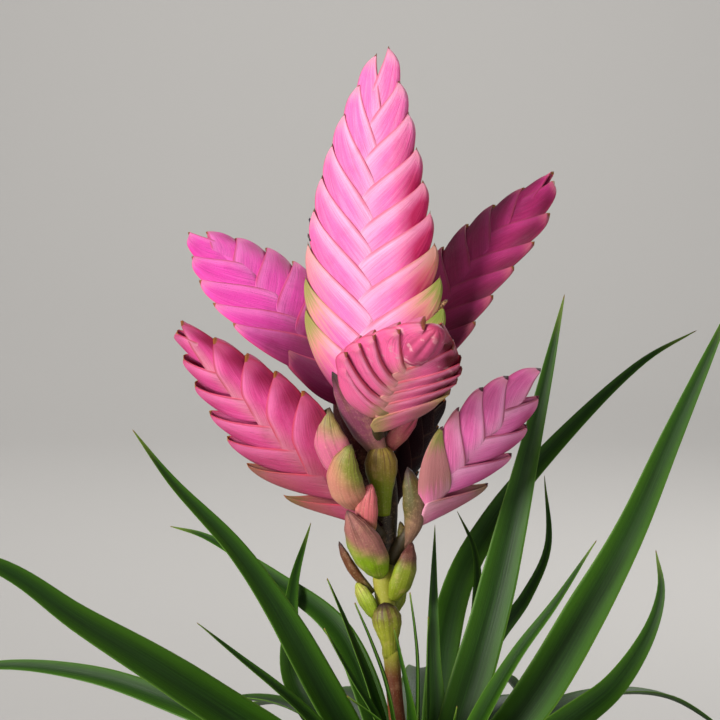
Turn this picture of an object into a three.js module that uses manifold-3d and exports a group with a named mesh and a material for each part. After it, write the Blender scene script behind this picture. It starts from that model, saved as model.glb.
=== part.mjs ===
// A branched pink quill plant in a plain grower's pot.
// Millimetres, +Z up, the pot's base centre at the origin, the front towards -Y.

import * as THREE from "three";
import { mergeVertices } from "three/addons/utils/BufferGeometryUtils.js";
import Module from "manifold-3d";

const wasm = await Module();
wasm.setup();

// ---- Driving dimensions ----------------------------------------------------

// Free space kept between two nodes that touch on the plant.
const GAP = 0.35;

// Detail smaller than this is smoothed away after the joins.
const SLIVER = 0.12;

const POT = {
  height: 110,
  rimRadius: 60,
  bandRadius: 58,
  shoulderRadius: 55,
  baseRadius: 45,
  wall: 2,
  floor: 3,
  bandHeight: 14,
  rimHeight: 4,
  draft: 0.6,
  drainHoles: 8,
  drainRadius: 4,
  drainRing: 28,
  sides: 36,
};

// clearance: free space to the pot and to the stump; holeDepth: of the plain hole the stump stands in.
const SOIL = { surface: 99, dome: 3, crest: 26, clearance: 0.3, holeDepth: 60, sides: 32 };

// The short stump that every leaf grows from, standing in the soil; leaves root on a ring inside it.
const STUMP = {
  x: 3,
  y: 0,
  radius: 12,
  foot: 74,
  top: 122,
  topRadius: 8,
  rootRing: 6,
  rootHeight: 111,
  sides: 14,
};

// channel and midrib: how deep the blade folds, as a share of its width, and its midrib in mm.
// upper: the way the upper face looks, upwards and in towards the heart of the plant.
const LEAF = { thickness: 0.9, channel: 0.16, midrib: 0.3, upper: [0.8, 0.6] };

// Rings along a leaf: distance along it, and width as a share of the full width.
const LEAF_RINGS = [
  [0, 0.5],
  [0.14, 0.94],
  [0.3, 1],
  [0.45, 0.9],
  [0.6, 0.68],
  [0.74, 0.47],
  [0.87, 0.26],
];

// Leaves seen from the front: width, share by which the upper face turns to the front, and points
// out to the tip.
const FRONT_LEAVES = [
  {
    width: 14.5,
    toFront: 0.7,
    path: [[-31, -6, 160], [-53, -12, 201], [-70, -17, 227], [-94, -22, 254], [-109, -26, 275]],
  },
  {
    width: 18,
    toFront: 0.75,
    path: [[-59, -14, 151], [-98, -34, 182], [-128, -48, 204], [-156, -60, 226], [-198, -74, 240]],
  },
  {
    width: 12,
    toFront: 0.7,
    path: [[-71, 8, 149], [-97, 16, 158], [-131, 26, 167], [-171, 36, 169], [-206, 44, 160]],
  },
  {
    width: 7,
    toFront: 0.6,
    path: [[-40, -22, 160], [-53, -30, 174], [-66, -36, 186], [-83, -44, 202]],
  },
  { width: 12, toFront: 0.7, path: [[-27, 34, 181], [-56, 60, 201], [-87, 84, 216], [-104, 96, 219]] },
  { width: 12, toFront: 0.8, path: [[-46, 16, 165], [-49, 34, 184], [-48, 50, 202], [-41, 66, 225]] },
  { width: 8, toFront: 0.5, path: [[-15.6, -12, 168], [-23, -14, 189], [-33, -18, 215]] },
  { width: 7, toFront: 0.4, path: [[-8.8, -14, 168], [-15, -18, 188], [-22, -22, 206]] },
  { width: 8, toFront: 0.4, path: [[0, -20, 160], [-3, -24, 178], [-6.7, -28, 197]] },
  { width: 6, toFront: 0.5, path: [[3, -8, 177], [2, -9, 192], [0, -10, 208]] },
  { width: 8, toFront: 0.8, path: [[11, 6, 153], [10, 8, 177], [10, 10, 205], [10.5, 12, 232]] },
  { width: 6.5, toFront: 0.5, path: [[7, -12, 157], [7, -16, 178], [6.9, -20, 200]] },
  { width: 6, toFront: 0.3, path: [[-1.4, -40, 150], [-12, -48, 164], [-25, -56, 176]] },
  { width: 6, toFront: 0.3, path: [[14, -40, 144], [16, -50, 162], [17, -56, 172]] },
  { width: 7, toFront: 0.5, path: [[-13.7, -22, 159], [-24, -28, 178], [-34, -34, 198]] },
  {
    width: 17,
    toFront: 0.85,
    path: [[21, 4, 155], [33, 12, 194], [43, 18, 234], [55, 24, 285], [64, 28, 325]],
  },
  {
    width: 13,
    toFront: 0.7,
    path: [[20, 50, 195], [36, 66, 224], [61, 84, 252], [106, 110, 291], [131, 120, 304]],
  },
  {
    width: 18,
    toFront: 0.8,
    path: [[49, -14, 165], [70, -24, 204], [85, -32, 235], [100, -42, 274], [123, -54, 331]],
  },
  { width: 9, toFront: 0.6, path: [[29, -22, 162], [42, -30, 187], [56, -36, 208], [71, -44, 234]] },
  {
    width: 15,
    toFront: 0.75,
    path: [[69, 18, 151], [86, 26, 163], [101, 34, 184], [106, 38, 201], [104, 42, 217]],
  },
  { width: 9, toFront: 0.7, path: [[34, 50, 172], [52, 72, 192], [62, 84, 212], [61, 94, 242]] },
  { width: 8, toFront: 0.7, path: [[26, 24, 176], [29, 34, 201], [28, 42, 217], [21, 52, 232]] },
];

// Outer leaves that finish the rosette: they rise and then arch over, low at the front and back.
const OUTER_LEAVES = {
  seed: 11,
  foot: 112,
  vary: { reach: 0.14, rise: 0.15, width: 0.15 },
  front: { count: 7, from: 196, to: 344, reach: 150, rise: 60, droop: 62, width: 17 },
  back: { count: 7, from: 20, to: 160, reach: 145, rise: 58, droop: 48, width: 16 },
};

// Stem centre line from the stump up to the foot of the terminal spike, with its radius.
const STEM = {
  sides: 10,
  rings: [
    { at: [1, 0, 106], radius: 4.4 },
    { at: [-2, 0, 132], radius: 3.9 },
    { at: [-5.6, 0, 160], radius: 3.3 },
    { at: [-7, 0, 178], radius: 3.3 },
    { at: [-7.2, 0, 181.5], radius: 4 },
    { at: [-7.6, 0, 185], radius: 3.5 },
    { at: [-9.6, 0, 200], radius: 3.9 },
    { at: [-10.6, 0, 214], radius: 4.4 },
    { at: [-9.8, 0, 229], radius: 4.6 },
    { at: [-9.6, 0, 245], radius: 4.8 },
    { at: [-10.6, 1, 258], radius: 4.4 },
    { at: [-12, 2, 268], radius: 3.6 },
  ],
};

// How wide a stem scale is along its length, as shares of its full width.
const SCALE_SHAPES = {
  barrel: [[0, 0.42], [0.32, 0.62], [0.61, 0.97], [0.78, 0.97], [0.93, 0.58]],
  boat: [[0, 0.5], [0.2, 0.84], [0.5, 1], [0.76, 0.82], [0.93, 0.4]],
  horn: [[0, 0.3], [0.2, 0.42], [0.4, 0.8], [0.6, 1], [0.8, 0.8], [0.93, 0.4]],
  pouch: [[0, 0.4], [0.15, 0.82], [0.35, 1], [0.6, 0.95], [0.8, 0.6], [0.93, 0.28]],
};

// Buds, bracts and sheaths on the stem: foot, belly and tip of the middle line, the way the bulge faces,
// width, bulge and shape.
const STEM_SCALES = [
  // The round bud in front, with the salmon bract beside it.
  {
    line: [[-10.4, -3.5, 238], [-11.4, -6, 254], [-12.1, -9, 267.6]],
    out: [0, -1, 0.1],
    width: 13.2,
    bulge: 9,
    shape: "barrel",
  },
  {
    line: [[-16.5, -8, 231], [-18.8, -16, 243], [-15.3, -17, 252.4]],
    out: [-0.3, -1, 0],
    width: 9.5,
    bulge: 6,
    shape: "boat",
  },
  // The scales below it, down to the sheath that closes round the stem.
  {
    line: [[-12.4, -3, 213.6], [-15.8, -12.5, 224], [-25.2, -18, 242]],
    out: [-0.4, -1, 0.1],
    width: 14.5,
    bulge: 9.5,
    shape: "pouch",
  },
  {
    line: [[-14.6, 0.5, 206], [-24, 1, 214], [-28.5, 1, 226.8]],
    out: [-1, -0.3, 0],
    width: 6.4,
    bulge: 4,
    shape: "boat",
  },
  {
    line: [[-13.8, -1.5, 196], [-17.4, -5, 204], [-21.6, -2, 210.4]],
    out: [-0.7, -0.8, 0],
    width: 8,
    bulge: 5,
    shape: "boat",
  },
  {
    line: [[-6.7, -2, 204], [-2.6, -8, 211], [0.8, -5, 227.7]],
    out: [0.7, -0.8, 0],
    width: 10.4,
    bulge: 7.4,
    shape: "pouch",
  },
  {
    line: [[-4.5, -1, 219], [-1.8, -4, 228], [-4, -4, 235.6]],
    out: [0.6, -0.8, 0],
    width: 5,
    bulge: 4,
    shape: "boat",
  },
  {
    line: [[-7.9, -1.5, 180], [-8.2, -5, 191], [-10.4, -5.5, 203]],
    out: [0, -1, 0],
    width: 12,
    bulge: 8.4,
    shape: "barrel",
  },
  {
    line: [[-8.5, 3, 196], [-6.5, 8, 208], [-5, 9.5, 219]],
    out: [0.1, 1, 0],
    width: 12,
    bulge: 7,
    shape: "pouch",
  },
  {
    line: [[-12, 3.5, 216], [-14, 9, 229], [-17, 11, 240]],
    out: [-0.3, 1, 0],
    width: 12,
    bulge: 7,
    shape: "boat",
  },
  // A dark sheath behind them, up to the foot of the upper left spike.
  {
    line: [[-12, 2, 238], [-21.5, 1, 264], [-30, 6, 290]],
    out: [-0.6, -0.8, 0],
    width: 14.5,
    bulge: 6,
    shape: "boat",
  },
  // Two plump bracts at the foot of the lower left spike.
  {
    line: [[-23.5, -13, 254], [-36.2, -19, 271.5], [-31.8, -21, 283.1]],
    out: [-0.41, -0.86, -0.3],
    width: 15.2,
    bulge: 8,
    shape: "pouch",
  },
  {
    line: [[-21, -9, 242], [-30, -22.5, 254.8], [-23.3, -24.5, 269]],
    out: [-0.3, -0.9, -0.3],
    width: 14.8,
    bulge: 8.5,
    shape: "pouch",
  },
  // Sheaths at the feet of the front spike and the lower right spike.
  {
    line: [[-12, -4, 262], [-23.5, -21, 283.8], [-31, -23, 297.4]],
    out: [-0.5, -0.8, -0.4],
    width: 14,
    bulge: 6.5,
    shape: "pouch",
  },
  {
    line: [[-10.5, -1, 263], [-5.5, -9, 270], [3, -12.5, 280]],
    out: [0.2, -0.9, -0.3],
    width: 8,
    bulge: 4.5,
    shape: "boat",
  },
  {
    line: [[-5, -2.5, 223], [6.2, -10, 232.5], [-1.2, -8, 258]],
    out: [0.1, -1, 0],
    width: 9.6,
    bulge: 6,
    shape: "horn",
  },
];

// Shared form of the bracts that overlap in two rows to make a flat spike.
const BRACT = {
  // Along the spike, from the keel's foot to the margin's foot.
  clasp: 17,
  // How far past the spike's middle line a margin starts.
  across: 3,
  // How early the keel reaches the outline.
  swell: 0.75,
  keelHalf: 0.35,
  lift: 1,
  foldShare: 0.26,
  // Half width and slimming length of a spike's very tip.
  tipHalf: 1.6,
  thinLength: 26,
  // Where along its climb the keel bends out, and the point between keel and margin that rounds a face.
  keelBend: 0.46,
  middle: 0.42,
  rings: [0.02, 0.34, 0.62, 0.86],
  // How far a tip may stray along and across its spike.
  stray: { seed: 4, along: 0.6, across: 0.5 },
};

// One row of bracts, from the tip of its spike down. taper is the length over which the row reaches its
// half width, reach how far a margin climbs on the narrowest and the widest bract, and curl and ess the
// bend of that margin. knee: the share of the climb that runs beside the middle line, and how far across
// it gets. bow: how far the keel stands out beside the tip. room: how flat the face is. last: extra gap
// and share of the width of the last bract.
function row(count, first, spacing, halfWidth, taper, reach, curl, more = {}) {
  const form = { ess: 0.4, knee: [0, 0], room: [0.25, 1.4], bow: [2.4, 0.8], last: [0, 1], ...more };
  return { count, first, spacing, halfWidth, taper, reach, curl, ...form };
}

// Spikes in the order in which they keep their room where they meet. line: base, bend and tip.
// face: the way the flat side looks. The right row lies towards the cross product of the line and the face.
// pinch: the length over which the spike narrows at its base, and by what share.
const SPIKES = [
  {
    name: "spike_terminal",
    colour: 0xea78bc,
    line: [[-12, 1, 268], [-24, -5, 328], [-10, 9, 424]],
    face: [-0.12, -0.99, -0.06],
    core: 3.6,
    apex: 0.2,
    stalk: 3.6,
    clasp: 1,
    pinch: [35, 0.4],
    right: row(9, -1, 13.2, 31.5, 124, [21, 24], 1, { ess: 0.6 }),
    left: row(9, 3, 12.6, 24.5, 100, [27, 30], 0.95, { ess: 0.5 }),
  },
  {
    name: "spike_front",
    colour: 0xe05088,
    line: [[-11, 0, 262], [-19.7, -30.4, 285], [7, -84, 320]],
    face: [-0.06, -0.6, -0.79],
    core: 4,
    apex: 0.6,
    stalk: 3.6,
    clasp: 0.92,
    pinch: [35, 0.4],
    // The closed bud between the two topmost bracts.
    crown: { length: 24, past: 0.5, across: 1.5, off: 1.5, halfWidth: 7.5, halfDepth: 5.5 },
    right: row(6, 1.6, 8.6, 23.3, 35, [24, 26], 1.1, { room: [0.4, 3], bow: [1.5, -1.2] }),
    left: row(6, 1.3, 7.6, 22.7, 39.5, [20, 24], 0.75, {
      room: [0.4, 4],
      bow: [2.6, 2],
      ess: 0,
      last: [0, 0.85],
    }),
  },
  {
    name: "spike_upper_left",
    colour: 0xc83c98,
    line: [[-11, 2, 266], [-49, 21.5, 320.5], [-89.5, 49, 349.5]],
    face: [0.27, -0.7, 0.66],
    core: 2.8,
    apex: 0.2,
    stalk: 3.2,
    clasp: 0.9,
    pinch: [35, 0.4],
    right: row(6, 3, 11, 27, 58, [10, 20], 1.4),
    left: row(6, -1, 12.6, 21.5, 42, [12, 27], 1.1, { last: [10, 0.53] }),
  },
  {
    name: "spike_upper_right",
    colour: 0xa52d73,
    line: [[-11, 3, 268], [4.5, 19.5, 314.5], [59.2, 42.7, 372]],
    face: [-0.52, -0.56, 0.64],
    core: 2.8,
    apex: 0.2,
    stalk: 3.2,
    clasp: 0.95,
    pinch: [35, 0.4],
    right: row(6, 1.6, 14.6, 19, 33, [14, 22], 1.2),
    left: row(7, -3, 12.2, 26.5, 60, [18, 24], 1.3),
  },
  {
    name: "spike_lower_left",
    colour: 0xe15596,
    line: [[-11, -2, 229], [-61.5, -5, 282.5], [-88.5, -42, 316]],
    face: [-0.41, -0.86, -0.3],
    core: 3.8,
    apex: 0.2,
    stalk: 3.6,
    clasp: 0.85,
    pinch: [58, 0.95],
    right: row(5, -3, 14.3, 23.5, 80, [28, 34], 1.3, { ess: 0, knee: [0.5, 0.26] }),
    left: row(7, 3, 13.6, 24.5, 84, [6, 20], 1.1, { last: [5, 1] }),
  },
  {
    name: "spike_lower_right",
    colour: 0xcd5a96,
    line: [[-8, -2, 219], [17.5, -11, 265.5], [51.5, -14, 296.5]],
    face: [0.4, -0.79, -0.46],
    core: 3.2,
    apex: 0.2,
    stalk: 3.2,
    clasp: 0.8,
    pinch: [52, 0.95],
    right: row(4, 8, 13.4, 21, 42, [12, 18], 1.2, { last: [3.5, 1] }),
    left: row(5, 0, 10.2, 17.5, 30, [14, 20], 1.3),
  },
  {
    name: "spike_back",
    colour: 0x4a1526,
    line: [[-10, 1, 240], [-1, 16, 260], [14.5, 34, 282]],
    face: [0.35, -0.8, -0.45],
    core: 3.4,
    apex: 0.2,
    stalk: 3,
    clasp: 0.8,
    pinch: [35, 0.4],
    right: row(4, 0, 11, 9, 30, [12, 16], 1.3),
    left: row(4, 5.5, 11, 9, 30, [12, 16], 1.3),
  },
];

const COLOURS = {
  pot: 0x3b3734,
  soil: 0x2f221a,
  leaf: 0x2f6a1c,
  stem: 0x8f9c3a,
};

// ---- Solids ----------------------------------------------------------------

const vector = (xyz) => new THREE.Vector3(...xyz);

// A solid from points and triangles, turned right side out if its volume comes out negative.
function solidFrom(points, triangles) {
  let volume = 0;
  for (const [a, b, c] of triangles) {
    volume += points[a].dot(points[b].clone().cross(points[c]));
  }
  const outward = volume > 0 ? triangles : triangles.map(([a, b, c]) => [a, c, b]);
  const vertProperties = new Float32Array(points.flatMap((point) => point.toArray()));
  const triVerts = new Uint32Array(outward.flat());
  return new wasm.Manifold(new wasm.Mesh({ numProp: 3, vertProperties, triVerts }));
}

function solidFromGeometry(geometry) {
  geometry.deleteAttribute("normal");
  geometry.deleteAttribute("uv");
  const merged = mergeVertices(geometry, 1e-4);
  const vertProperties = merged.attributes.position.array;
  const triVerts = merged.index.array;
  return new wasm.Manifold(new wasm.Mesh({ numProp: 3, vertProperties, triVerts }));
}

// A closed solid through rings of equally many points, from a flat foot to a flat end or a point.
function loft(rings, apex) {
  const sides = rings[0].length;
  const points = rings.flat();
  const triangles = [];
  for (let ring = 0; ring < rings.length - 1; ring += 1) {
    for (let side = 0; side < sides; side += 1) {
      const a = ring * sides + side;
      const b = ring * sides + ((side + 1) % sides);
      triangles.push([a, b, b + sides], [a, b + sides, a + sides]);
    }
  }
  for (let side = 1; side < sides - 1; side += 1) {
    triangles.push([0, side + 1, side]);
  }
  const last = (rings.length - 1) * sides;
  if (apex) {
    points.push(apex);
    for (let side = 0; side < sides; side += 1) {
      triangles.push([last + side, last + ((side + 1) % sides), points.length - 1]);
    }
  } else {
    for (let side = 1; side < sides - 1; side += 1) {
      triangles.push([last, last + side, last + side + 1]);
    }
  }
  return solidFrom(points, triangles);
}

// The largest body of a solid, without loose scraps, closed hollows or sliver triangles.
function mainBody(solid) {
  const bodies = solid.simplify(SLIVER).decompose();
  bodies.sort((a, b) => b.volume() - a.volume());
  return bodies[0];
}

function meshFrom(name, solid, colour, roughness) {
  const { vertProperties, triVerts } = solid.getMesh();
  const geometry = new THREE.BufferGeometry();
  geometry.setAttribute("position", new THREE.BufferAttribute(new Float32Array(vertProperties), 3));
  geometry.setIndex(new THREE.BufferAttribute(new Uint32Array(triVerts), 1));
  geometry.computeVertexNormals();
  const material = new THREE.MeshStandardMaterial({ color: colour, roughness, metalness: 0 });
  const mesh = new THREE.Mesh(geometry, material);
  mesh.name = name;
  return mesh;
}

// A small repeatable random source.
function seededRandom(seed) {
  let state = seed;
  return () => {
    state = (state * 1664525 + 1013904223) % 4294967296;
    return state / 4294967296;
  };
}

// A factor about 1, up to the given share more or less.
function varied(random, share) {
  return 1 + share * (2 * random() - 1);
}

// ---- Spikes ----------------------------------------------------------------

// Places a point given along, across and off the flat face of a spike.
function spikeFrame(spike) {
  const curve = new THREE.QuadraticBezierCurve3(...spike.line.map(vector));
  const length = curve.getLength();
  const face = vector(spike.face);
  const place = (along, across, off) => {
    const share = THREE.MathUtils.clamp(along / length, 0, 1);
    const tangent = curve.getTangentAt(share);
    const normal = face.clone().addScaledVector(tangent, -face.dot(tangent)).normalize();
    const side = tangent.clone().cross(normal);
    return curve
      .getPointAt(share)
      .addScaledVector(tangent, along - share * length)
      .addScaledVector(side, across)
      .addScaledVector(normal, off);
  };
  return { length, place };
}

function bezier(from, bend, to, share) {
  const rest = 1 - share;
  return rest * rest * from + 2 * rest * share * bend + share * share * to;
}

// Half width of one row at a distance along its spike.
function halfWidthAt(spike, side, frame, along) {
  const { clamp } = THREE.MathUtils;
  const share = clamp((frame.length - along) / side.taper, 0, 1);
  const [pinchLength, pinchShare] = spike.pinch;
  const pinch = pinchShare * (1 - clamp(along / pinchLength, 0, 1)) ** 2;
  const swell = Math.sin((Math.PI / 2) * share ** 0.9);
  return (BRACT.tipHalf + (side.halfWidth - BRACT.tipHalf) * swell) * (1 - pinch);
}

// How far from the seam to the tip a margin has come, at a share u of its reach.
function marginShare(side, u) {
  const [knee, kneeShare] = side.knee;
  if (u < knee) {
    return (kneeShare * u) / knee;
  }
  const rest = (u - knee) / (1 - knee);
  const climb = THREE.MathUtils.lerp(rest ** side.curl, THREE.MathUtils.smoothstep(rest, 0, 1), side.ess);
  return THREE.MathUtils.lerp(kneeShare, 1, climb);
}

// One bract: a keel at the outer edge, and two halves that lie on the faces of the spike.
function bract(spike, frame, side, turn, tip, grow) {
  const { lerp, smoothstep, clamp } = THREE.MathUtils;
  const size = tip.width / side.halfWidth;
  const reach = lerp(...side.reach, size);
  const clasp = BRACT.clasp * spike.clasp;
  const foot = tip.along - reach - clasp;
  const widthAt = (along) => halfWidthAt(spike, side, frame, along);
  const keelAt = (u) => {
    const along = bezier(foot, foot + BRACT.keelBend * (reach + clasp), tip.along, u);
    const width = widthAt(along) * lerp(1, tip.narrow, u);
    const bow = lerp(...side.bow, size) * Math.sin(Math.PI * u ** 5);
    return [along - grow, width * Math.sin((Math.PI / 2) * u ** BRACT.swell) + bow + grow];
  };
  const marginAt = (u) => [
    foot + clasp + reach * u + grow,
    lerp(-BRACT.across, tip.width, marginShare(side, u)) - grow,
  ];
  // A point v of the way from the keel to the margin: a lens across the spike, lifted towards the margin.
  const pointAt = (u, v, front) => {
    const [keelAlong, keelAcross] = keelAt(u);
    const [marginAlong, marginAcross] = marginAt(u);
    const along = lerp(keelAlong, marginAlong, v);
    const across = lerp(keelAcross, marginAcross, v);
    const room = widthAt(along - side.room[0] * reach) + side.room[1];
    const lens = Math.max(0, 1 - (across / room) ** 2);
    const thin = clamp((frame.length - along) / BRACT.thinLength, spike.apex, 1);
    const fold = Math.sin((Math.PI / 2) * Math.min(1, v / BRACT.foldShare));
    const rise = smoothstep(u, -0.12, 0.3) * (1 - 0.5 * u * u);
    const off = (BRACT.keelHalf + spike.core * lens * thin) * fold + BRACT.lift * v * rise;
    return frame.place(along, turn * across, front * (off + grow));
  };
  const rings = BRACT.rings.map((u) => {
    const [keelAlong, keelAcross] = keelAt(u);
    const keel = frame.place(keelAlong, turn * keelAcross, 0);
    const front = [pointAt(u, BRACT.middle, 1), pointAt(u, 1, 1)];
    const back = [pointAt(u, 1, -1), pointAt(u, BRACT.middle, -1)];
    return [keel, ...front, ...back];
  });
  return loft(rings, frame.place(tip.along + 0.8 + grow, turn * tip.width, 0));
}

// Where the tip of one bract stands, a little off its even place.
function bractTip(spike, frame, side, index, random) {
  const [extra, narrow] = index === side.count - 1 ? side.last : [0, 1];
  const even = frame.length - side.first - index * side.spacing - extra;
  const along = even + BRACT.stray.along * (2 * random() - 1);
  const width = halfWidthAt(spike, side, frame, along) * narrow + BRACT.stray.across * (2 * random() - 1);
  return { along, width, narrow };
}

// The closed bud between the two topmost bracts.
function spikeCrown(crown, frame, grow) {
  const sides = 8;
  const rings = [0, 0.3, 0.6, 0.86].map((share) => {
    const along = frame.length + crown.past - crown.length * (1 - share);
    const swell = THREE.MathUtils.lerp(0.7, 1, THREE.MathUtils.smoothstep(share, 0, 0.5));
    const size = swell * Math.sqrt(1 - share ** 3);
    return Array.from({ length: sides }, (_, k) => {
      const turn = (2 * Math.PI * k) / sides;
      const across = crown.across + (crown.halfWidth * size + grow) * Math.cos(turn);
      return frame.place(along, across, crown.off + (crown.halfDepth * size + grow) * Math.sin(turn));
    });
  });
  return loft(rings, frame.place(frame.length + crown.past + grow, crown.across, crown.off));
}

// The stalk that carries a spike, run a little way up between its bracts.
function spikeStalk(spike, frame, grow) {
  const sides = 8;
  const thinning = 0.16;
  const rings = [0, 12, 26].map((along, index) => {
    const radius = spike.stalk * (1 - thinning * index) + grow;
    return Array.from({ length: sides }, (_, k) => {
      const turn = (2 * Math.PI * k) / sides;
      return frame.place(along, radius * Math.cos(turn), radius * Math.sin(turn));
    });
  });
  return loft(rings);
}

function spikeSolid(spike, grow) {
  const frame = spikeFrame(spike);
  const random = seededRandom(BRACT.stray.seed + spike.name.length);
  const pieces = [spikeStalk(spike, frame, grow)];
  if (spike.crown) {
    pieces.push(spikeCrown(spike.crown, frame, grow));
  }
  for (const [side, turn] of [[spike.right, 1], [spike.left, -1]]) {
    for (let index = 0; index < side.count; index += 1) {
      pieces.push(bract(spike, frame, side, turn, bractTip(spike, frame, side, index, random), grow));
    }
  }
  return wasm.Manifold.union(pieces);
}

// ---- Stem ------------------------------------------------------------------

function stemCore(grow) {
  const rings = STEM.rings.map(({ at, radius }) =>
    Array.from({ length: STEM.sides }, (_, k) => {
      const turn = (2 * Math.PI * k) / STEM.sides;
      const out = radius + grow;
      return new THREE.Vector3(at[0] + out * Math.cos(turn), at[1] + out * Math.sin(turn), at[2]);
    }),
  );
  rings[0].forEach((point) => point.setZ(point.z - grow));
  rings[rings.length - 1].forEach((point) => point.setZ(point.z + grow));
  return loft(rings);
}

// A plump pointed scale that wraps the stem.
function stemScale(spec, grow) {
  const line = new THREE.QuadraticBezierCurve3(...spec.line.map(vector));
  const turns = [0, 60, 120, 180, 240, 300].map(THREE.MathUtils.degToRad);
  const rings = SCALE_SHAPES[spec.shape].map(([share, width]) => {
    const centre = line.getPointAt(share);
    const tangent = line.getTangentAt(share);
    const out = vector(spec.out);
    out.addScaledVector(tangent, -out.dot(tangent)).normalize();
    const side = tangent.clone().cross(out);
    return turns.map((turn) => {
      const across = Math.cos(turn) * ((spec.width / 2) * width + grow);
      const off = Math.sin(turn) * ((spec.bulge / 2) * width + grow);
      return centre.clone().addScaledVector(side, across).addScaledVector(out, off);
    });
  });
  return loft(rings, line.getPointAt(1).addScaledVector(line.getTangentAt(1), grow));
}

function stemSolid(grow) {
  const pieces = STEM_SCALES.map((spec) => stemScale(spec, grow));
  pieces.push(stemCore(grow));
  return wasm.Manifold.union(pieces);
}

// ---- Leaves ----------------------------------------------------------------

// A channelled strap leaf through the points of its path.
function leaf({ width, toFront, path }) {
  const heart = new THREE.Vector3(STUMP.x, STUMP.y, STUMP.rootHeight);
  const tip = vector(path[path.length - 1]);
  const inward = heart.clone().sub(tip).setZ(0).normalize();
  const root = heart.clone().addScaledVector(inward, -STUMP.rootRing);
  const curve = new THREE.CatmullRomCurve3([root, ...path.map(vector)]);
  const rings = LEAF_RINGS.map(([share, part]) => {
    const centre = curve.getPointAt(share);
    const tangent = curve.getTangentAt(share);
    const upper = new THREE.Vector3(0, 0, LEAF.upper[0]).addScaledVector(inward, LEAF.upper[1]);
    upper.addScaledVector(tangent, -upper.dot(tangent)).normalize();
    upper.multiplyScalar(1 - toFront).add(new THREE.Vector3(0, -toFront, 0));
    upper.addScaledVector(tangent, -upper.dot(tangent)).normalize();
    const across = tangent.clone().cross(upper);
    const half = (width / 2) * part;
    const rise = LEAF.channel * width * part;
    const point = (x, y) => centre.clone().addScaledVector(across, x).addScaledVector(upper, y);
    const thick = LEAF.thickness;
    return [
      point(0, thick / 2),
      point(half, rise + thick / 2),
      point(half, rise - thick / 2),
      point(0, -thick / 2 - LEAF.midrib * part),
      point(-half, rise - thick / 2),
      point(-half, rise + thick / 2),
    ];
  });
  return loft(rings, tip);
}

// Outer leaves spread by angle, each rising and then arching over.
function outerLeaves({ count, from, to, reach, rise, droop, width }, random) {
  const { vary } = OUTER_LEAVES;
  return Array.from({ length: count }, (_, index) => {
    const share = (index + 0.25 + 0.5 * random()) / count;
    const turn = THREE.MathUtils.degToRad(from + (to - from) * share);
    const out = reach * varied(random, vary.reach);
    const lift = rise * varied(random, vary.rise);
    const at = (distance, height) => [
      STUMP.x + distance * Math.cos(turn),
      STUMP.y + distance * Math.sin(turn),
      OUTER_LEAVES.foot + height,
    ];
    const path = [0.25, 0.5, 0.75, 1].map((part) => {
      const height = lift * (1 - (1 - part) ** 2) - droop * part ** 3;
      return at(out * part, height);
    });
    return leaf({ width: width * varied(random, vary.width), toFront: 0, path });
  });
}

function rosetteSolid() {
  const { x, y, radius, foot, top, topRadius, sides } = STUMP;
  const stump = wasm.Manifold.cylinder(top - foot, radius, topRadius, sides).translate([x, y, foot]);
  const random = seededRandom(OUTER_LEAVES.seed);
  const leaves = [
    ...FRONT_LEAVES.map(leaf),
    ...outerLeaves(OUTER_LEAVES.front, random),
    ...outerLeaves(OUTER_LEAVES.back, random),
  ];
  return wasm.Manifold.union([stump, ...leaves]);
}

// ---- Pot and soil ----------------------------------------------------------

// Outer radius of the pot's plain wall at a height.
function potRadiusAt(height) {
  const share = height / (POT.height - POT.bandHeight);
  return POT.baseRadius + (POT.shoulderRadius - POT.baseRadius) * Math.min(1, share);
}

function potSolid() {
  const band = POT.height - POT.bandHeight;
  const rim = POT.height - POT.rimHeight;
  const profile = [
    [0, 0],
    [POT.baseRadius - 1.5, 0],
    [POT.baseRadius, 1.5],
    [POT.shoulderRadius, band],
    [POT.bandRadius, band],
    [POT.bandRadius + POT.draft, rim],
    [POT.rimRadius, rim],
    [POT.rimRadius, POT.height - 1],
    [POT.rimRadius - 1, POT.height],
    [POT.bandRadius - POT.wall + POT.draft, POT.height],
    [POT.bandRadius - POT.wall, band + 2],
    [POT.shoulderRadius - POT.wall, band - 2],
    [potRadiusAt(POT.floor) - POT.wall, POT.floor],
    [0, POT.floor],
  ].map(([x, y]) => new THREE.Vector2(x, y));
  const lathe = new THREE.LatheGeometry(profile, POT.sides).rotateX(Math.PI / 2);
  let pot = solidFromGeometry(lathe);
  for (let hole = 0; hole < POT.drainHoles; hole += 1) {
    const turn = (2 * Math.PI * hole) / POT.drainHoles;
    const cutter = wasm.Manifold.cylinder(POT.floor * 3, POT.drainRadius, POT.drainRadius, 8);
    const across = POT.drainRing * Math.cos(turn);
    pot = pot.subtract(cutter.translate([across, POT.drainRing * Math.sin(turn), -POT.floor]));
  }
  return pot;
}

// Potting mix that fills the pot to just under its rim, with a plain hole for the stump.
function soilSolid() {
  const { surface, dome, crest, clearance, holeDepth } = SOIL;
  const clear = POT.wall + clearance;
  const low = POT.floor + clearance;
  const profile = [
    [0, low],
    [potRadiusAt(low) - clear, low],
    [POT.shoulderRadius - clear, POT.height - POT.bandHeight - 2],
    [POT.bandRadius - clear - 1, surface - 2],
    [POT.bandRadius - clear - 3, surface - 0.5],
    [crest, surface + dome * 0.7],
    [0, surface + dome],
  ].map(([x, y]) => new THREE.Vector2(x, y));
  const lathe = new THREE.LatheGeometry(profile, SOIL.sides).rotateX(Math.PI / 2);
  const radius = STUMP.radius + clearance;
  const hole = wasm.Manifold.cylinder(holeDepth, radius, radius, STUMP.sides);
  return solidFromGeometry(lathe).subtract(hole.translate([STUMP.x, STUMP.y, STUMP.foot - clearance]));
}

// ---- Assembly --------------------------------------------------------------

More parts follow.
